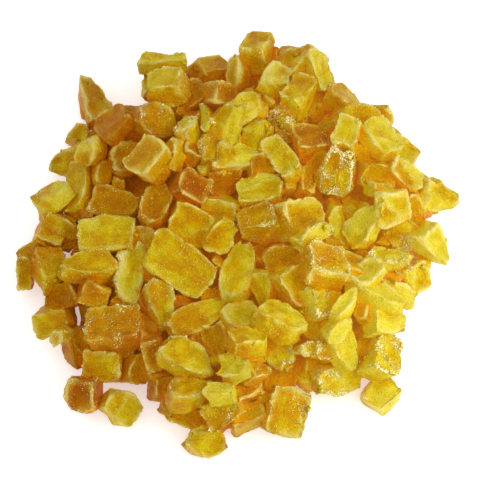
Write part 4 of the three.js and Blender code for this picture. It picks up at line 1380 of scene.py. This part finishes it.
def fibre_faces(base):
    """The triangles of a fibre whose points start at this number."""
    faces = []
    for step in range(FIBRE_STEPS - 1):
        for k in range(FIBRE_SIDES):
            low = base + FIBRE_SIDES * step + k
            high = base + FIBRE_SIDES * step + (k + 1) % FIBRE_SIDES
            faces += [(low, high, high + FIBRE_SIDES), (low, high + FIBRE_SIDES, low + FIBRE_SIDES)]
    end = base + FIBRE_SIDES * (FIBRE_STEPS - 1)
    return faces + [(base + 2, base + 1, base), (end, end + 1, end + 2)]


def fibres(tree):
    """Loose dry fibres and sugar threads that stand off the fruit."""
    random = np.random.default_rng(FIBRE_SEED)
    points, faces = [], []
    for across, up, spread, count in FIBRE_SPOTS:
        for _ in range(count):
            aside, above = random.normal() * spread / 2, random.normal() * spread
            place, normal = seen_at(tree, across + aside, up + above)
            if place is None:
                continue
            faces += fibre_faces(FIBRE_SIDES * len(points))
            points += fibre(random, np.array(place), np.array(normal))
    points = np.concatenate(points)
    flat = np.zeros(len(points))
    return points, np.array(faces), {"pale": flat + FIBRE_PALE, "gap_shade": flat}


# ---------------- the heap

by_cut = {cut: [] for cut in CUTS}
for piece, surface in zip(visible, surfaces_of(visible, 0, GRAIN)):
    by_cut[piece.cut].append(surface)
lower = surfaces_of(between + foot, BETWEEN_NUMBERS, GRAIN_BETWEEN)
below = surfaces_of(hidden, BELOW_NUMBERS, GRAIN_BELOW)
shown = [surface for surfaces in by_cut.values() for surface in surfaces] + lower
tree = tree_of(shown + below)
shade_by_sky(shown + below, tree)

fruit = [joined(f"mango_{cut}", surfaces) for cut, surfaces in by_cut.items()]
fruit.append(joined("mango_below", below))
fruit.append(joined("mango_between", lower))
fruit.append(new_object("heap_inside", *core_surface()))
fruit.append(new_object("mango_crumbs", *crumbs(shown)))
crystals = new_object("sugar_crystals", *sugar(shown))
crystals.data.shade_flat()
sweets = [crystals, new_object("dry_fibres", *fibres(tree))]
for pieces, material in ((fruit, flesh_material()), (sweets, sugar_material())):
    for piece in pieces:
        piece.data.materials.append(material)
for piece in fruit + sweets:
    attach(piece, "root")
    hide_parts("mango_heap")

# ---------------- table, light and camera, in metres

TABLE_HALF = 3.0
TABLE_COLOUR = (0.85, 0.84, 0.85, 1)
TABLE_ROUGH = 0.9
TABLE_LIGHT = 0.4  # the photo's ground is burnt out
WHITE = (1, 1, 1, 1)
LAMP_DISTANCE = 0.16
LAMP_SIZE = 0.14
LAMP_POWER = 0.16
WORLD_LIGHT = 1.0
SENSOR = 36
EYE_DISTANCE = 0.9
EYE_NEAREST = 0.01
PICTURE_WIDTH = 0.1248
PICTURE_MIDDLE = 0.52  # mm by which the picture's middle lies right of and above the point of sight


def table():
    mesh = bpy.data.meshes.new("table")
    corners = [(-1, -1), (1, -1), (1, 1), (-1, 1)]
    mesh.from_pydata([(TABLE_HALF * x, TABLE_HALF * y, 0) for x, y in corners], [], [(0, 1, 2, 3)])
    top = bpy.data.objects.new("table", mesh)
    bpy.context.scene.collection.objects.link(top)
    material = bpy.data.materials.new("table_white")
    material.use_nodes = True
    shader = material.node_tree.nodes["Principled BSDF"]
    shader.inputs["Base Color"].default_value = TABLE_COLOUR
    shader.inputs["Roughness"].default_value = TABLE_ROUGH
    shader.inputs["Emission Color"].default_value = WHITE
    shader.inputs["Emission Strength"].default_value = TABLE_LIGHT
    mesh.materials.append(material)


def lamp():
    data = bpy.data.lights.new("key", "AREA")
    data.size = LAMP_SIZE
    data.energy = LAMP_POWER
    light = bpy.data.objects.new("key", data)
    light.visible_camera = False
    bpy.context.scene.collection.objects.link(light)
    light.location = Vector(LAMP_WAY) * LAMP_DISTANCE
    light.rotation_euler = (-light.location).to_track_quat("-Z", "Y").to_euler()


def sky():
    world = bpy.data.worlds.new("studio")
    world.use_nodes = True
    world.node_tree.nodes["Background"].inputs["Color"].default_value = WHITE
    world.node_tree.nodes["Background"].inputs["Strength"].default_value = WORLD_LIGHT
    bpy.context.scene.world = world


def camera():
    middle = Vector((PICTURE_MIDDLE, PICTURE_MIDDLE / math.sin(SIGHT_ELEVATION), 0))
    target = (Vector(SIGHT_POINT) + middle - Vector(origin)) * MM
    data = bpy.data.cameras.new("camera")
    data.sensor_width = SENSOR
    data.lens = SENSOR * EYE_DISTANCE / PICTURE_WIDTH
    data.clip_start = EYE_NEAREST
    eye = bpy.data.objects.new("camera", data)
    bpy.context.scene.collection.objects.link(eye)
    eye.location = target + TOWARDS_EYE * EYE_DISTANCE
    eye.rotation_euler = (-TOWARDS_EYE).to_track_quat("-Z", "Y").to_euler()
    bpy.context.scene.camera = eye


table()
lamp()
sky()
camera()
bpy.context.scene.view_settings.view_transform = "Standard"
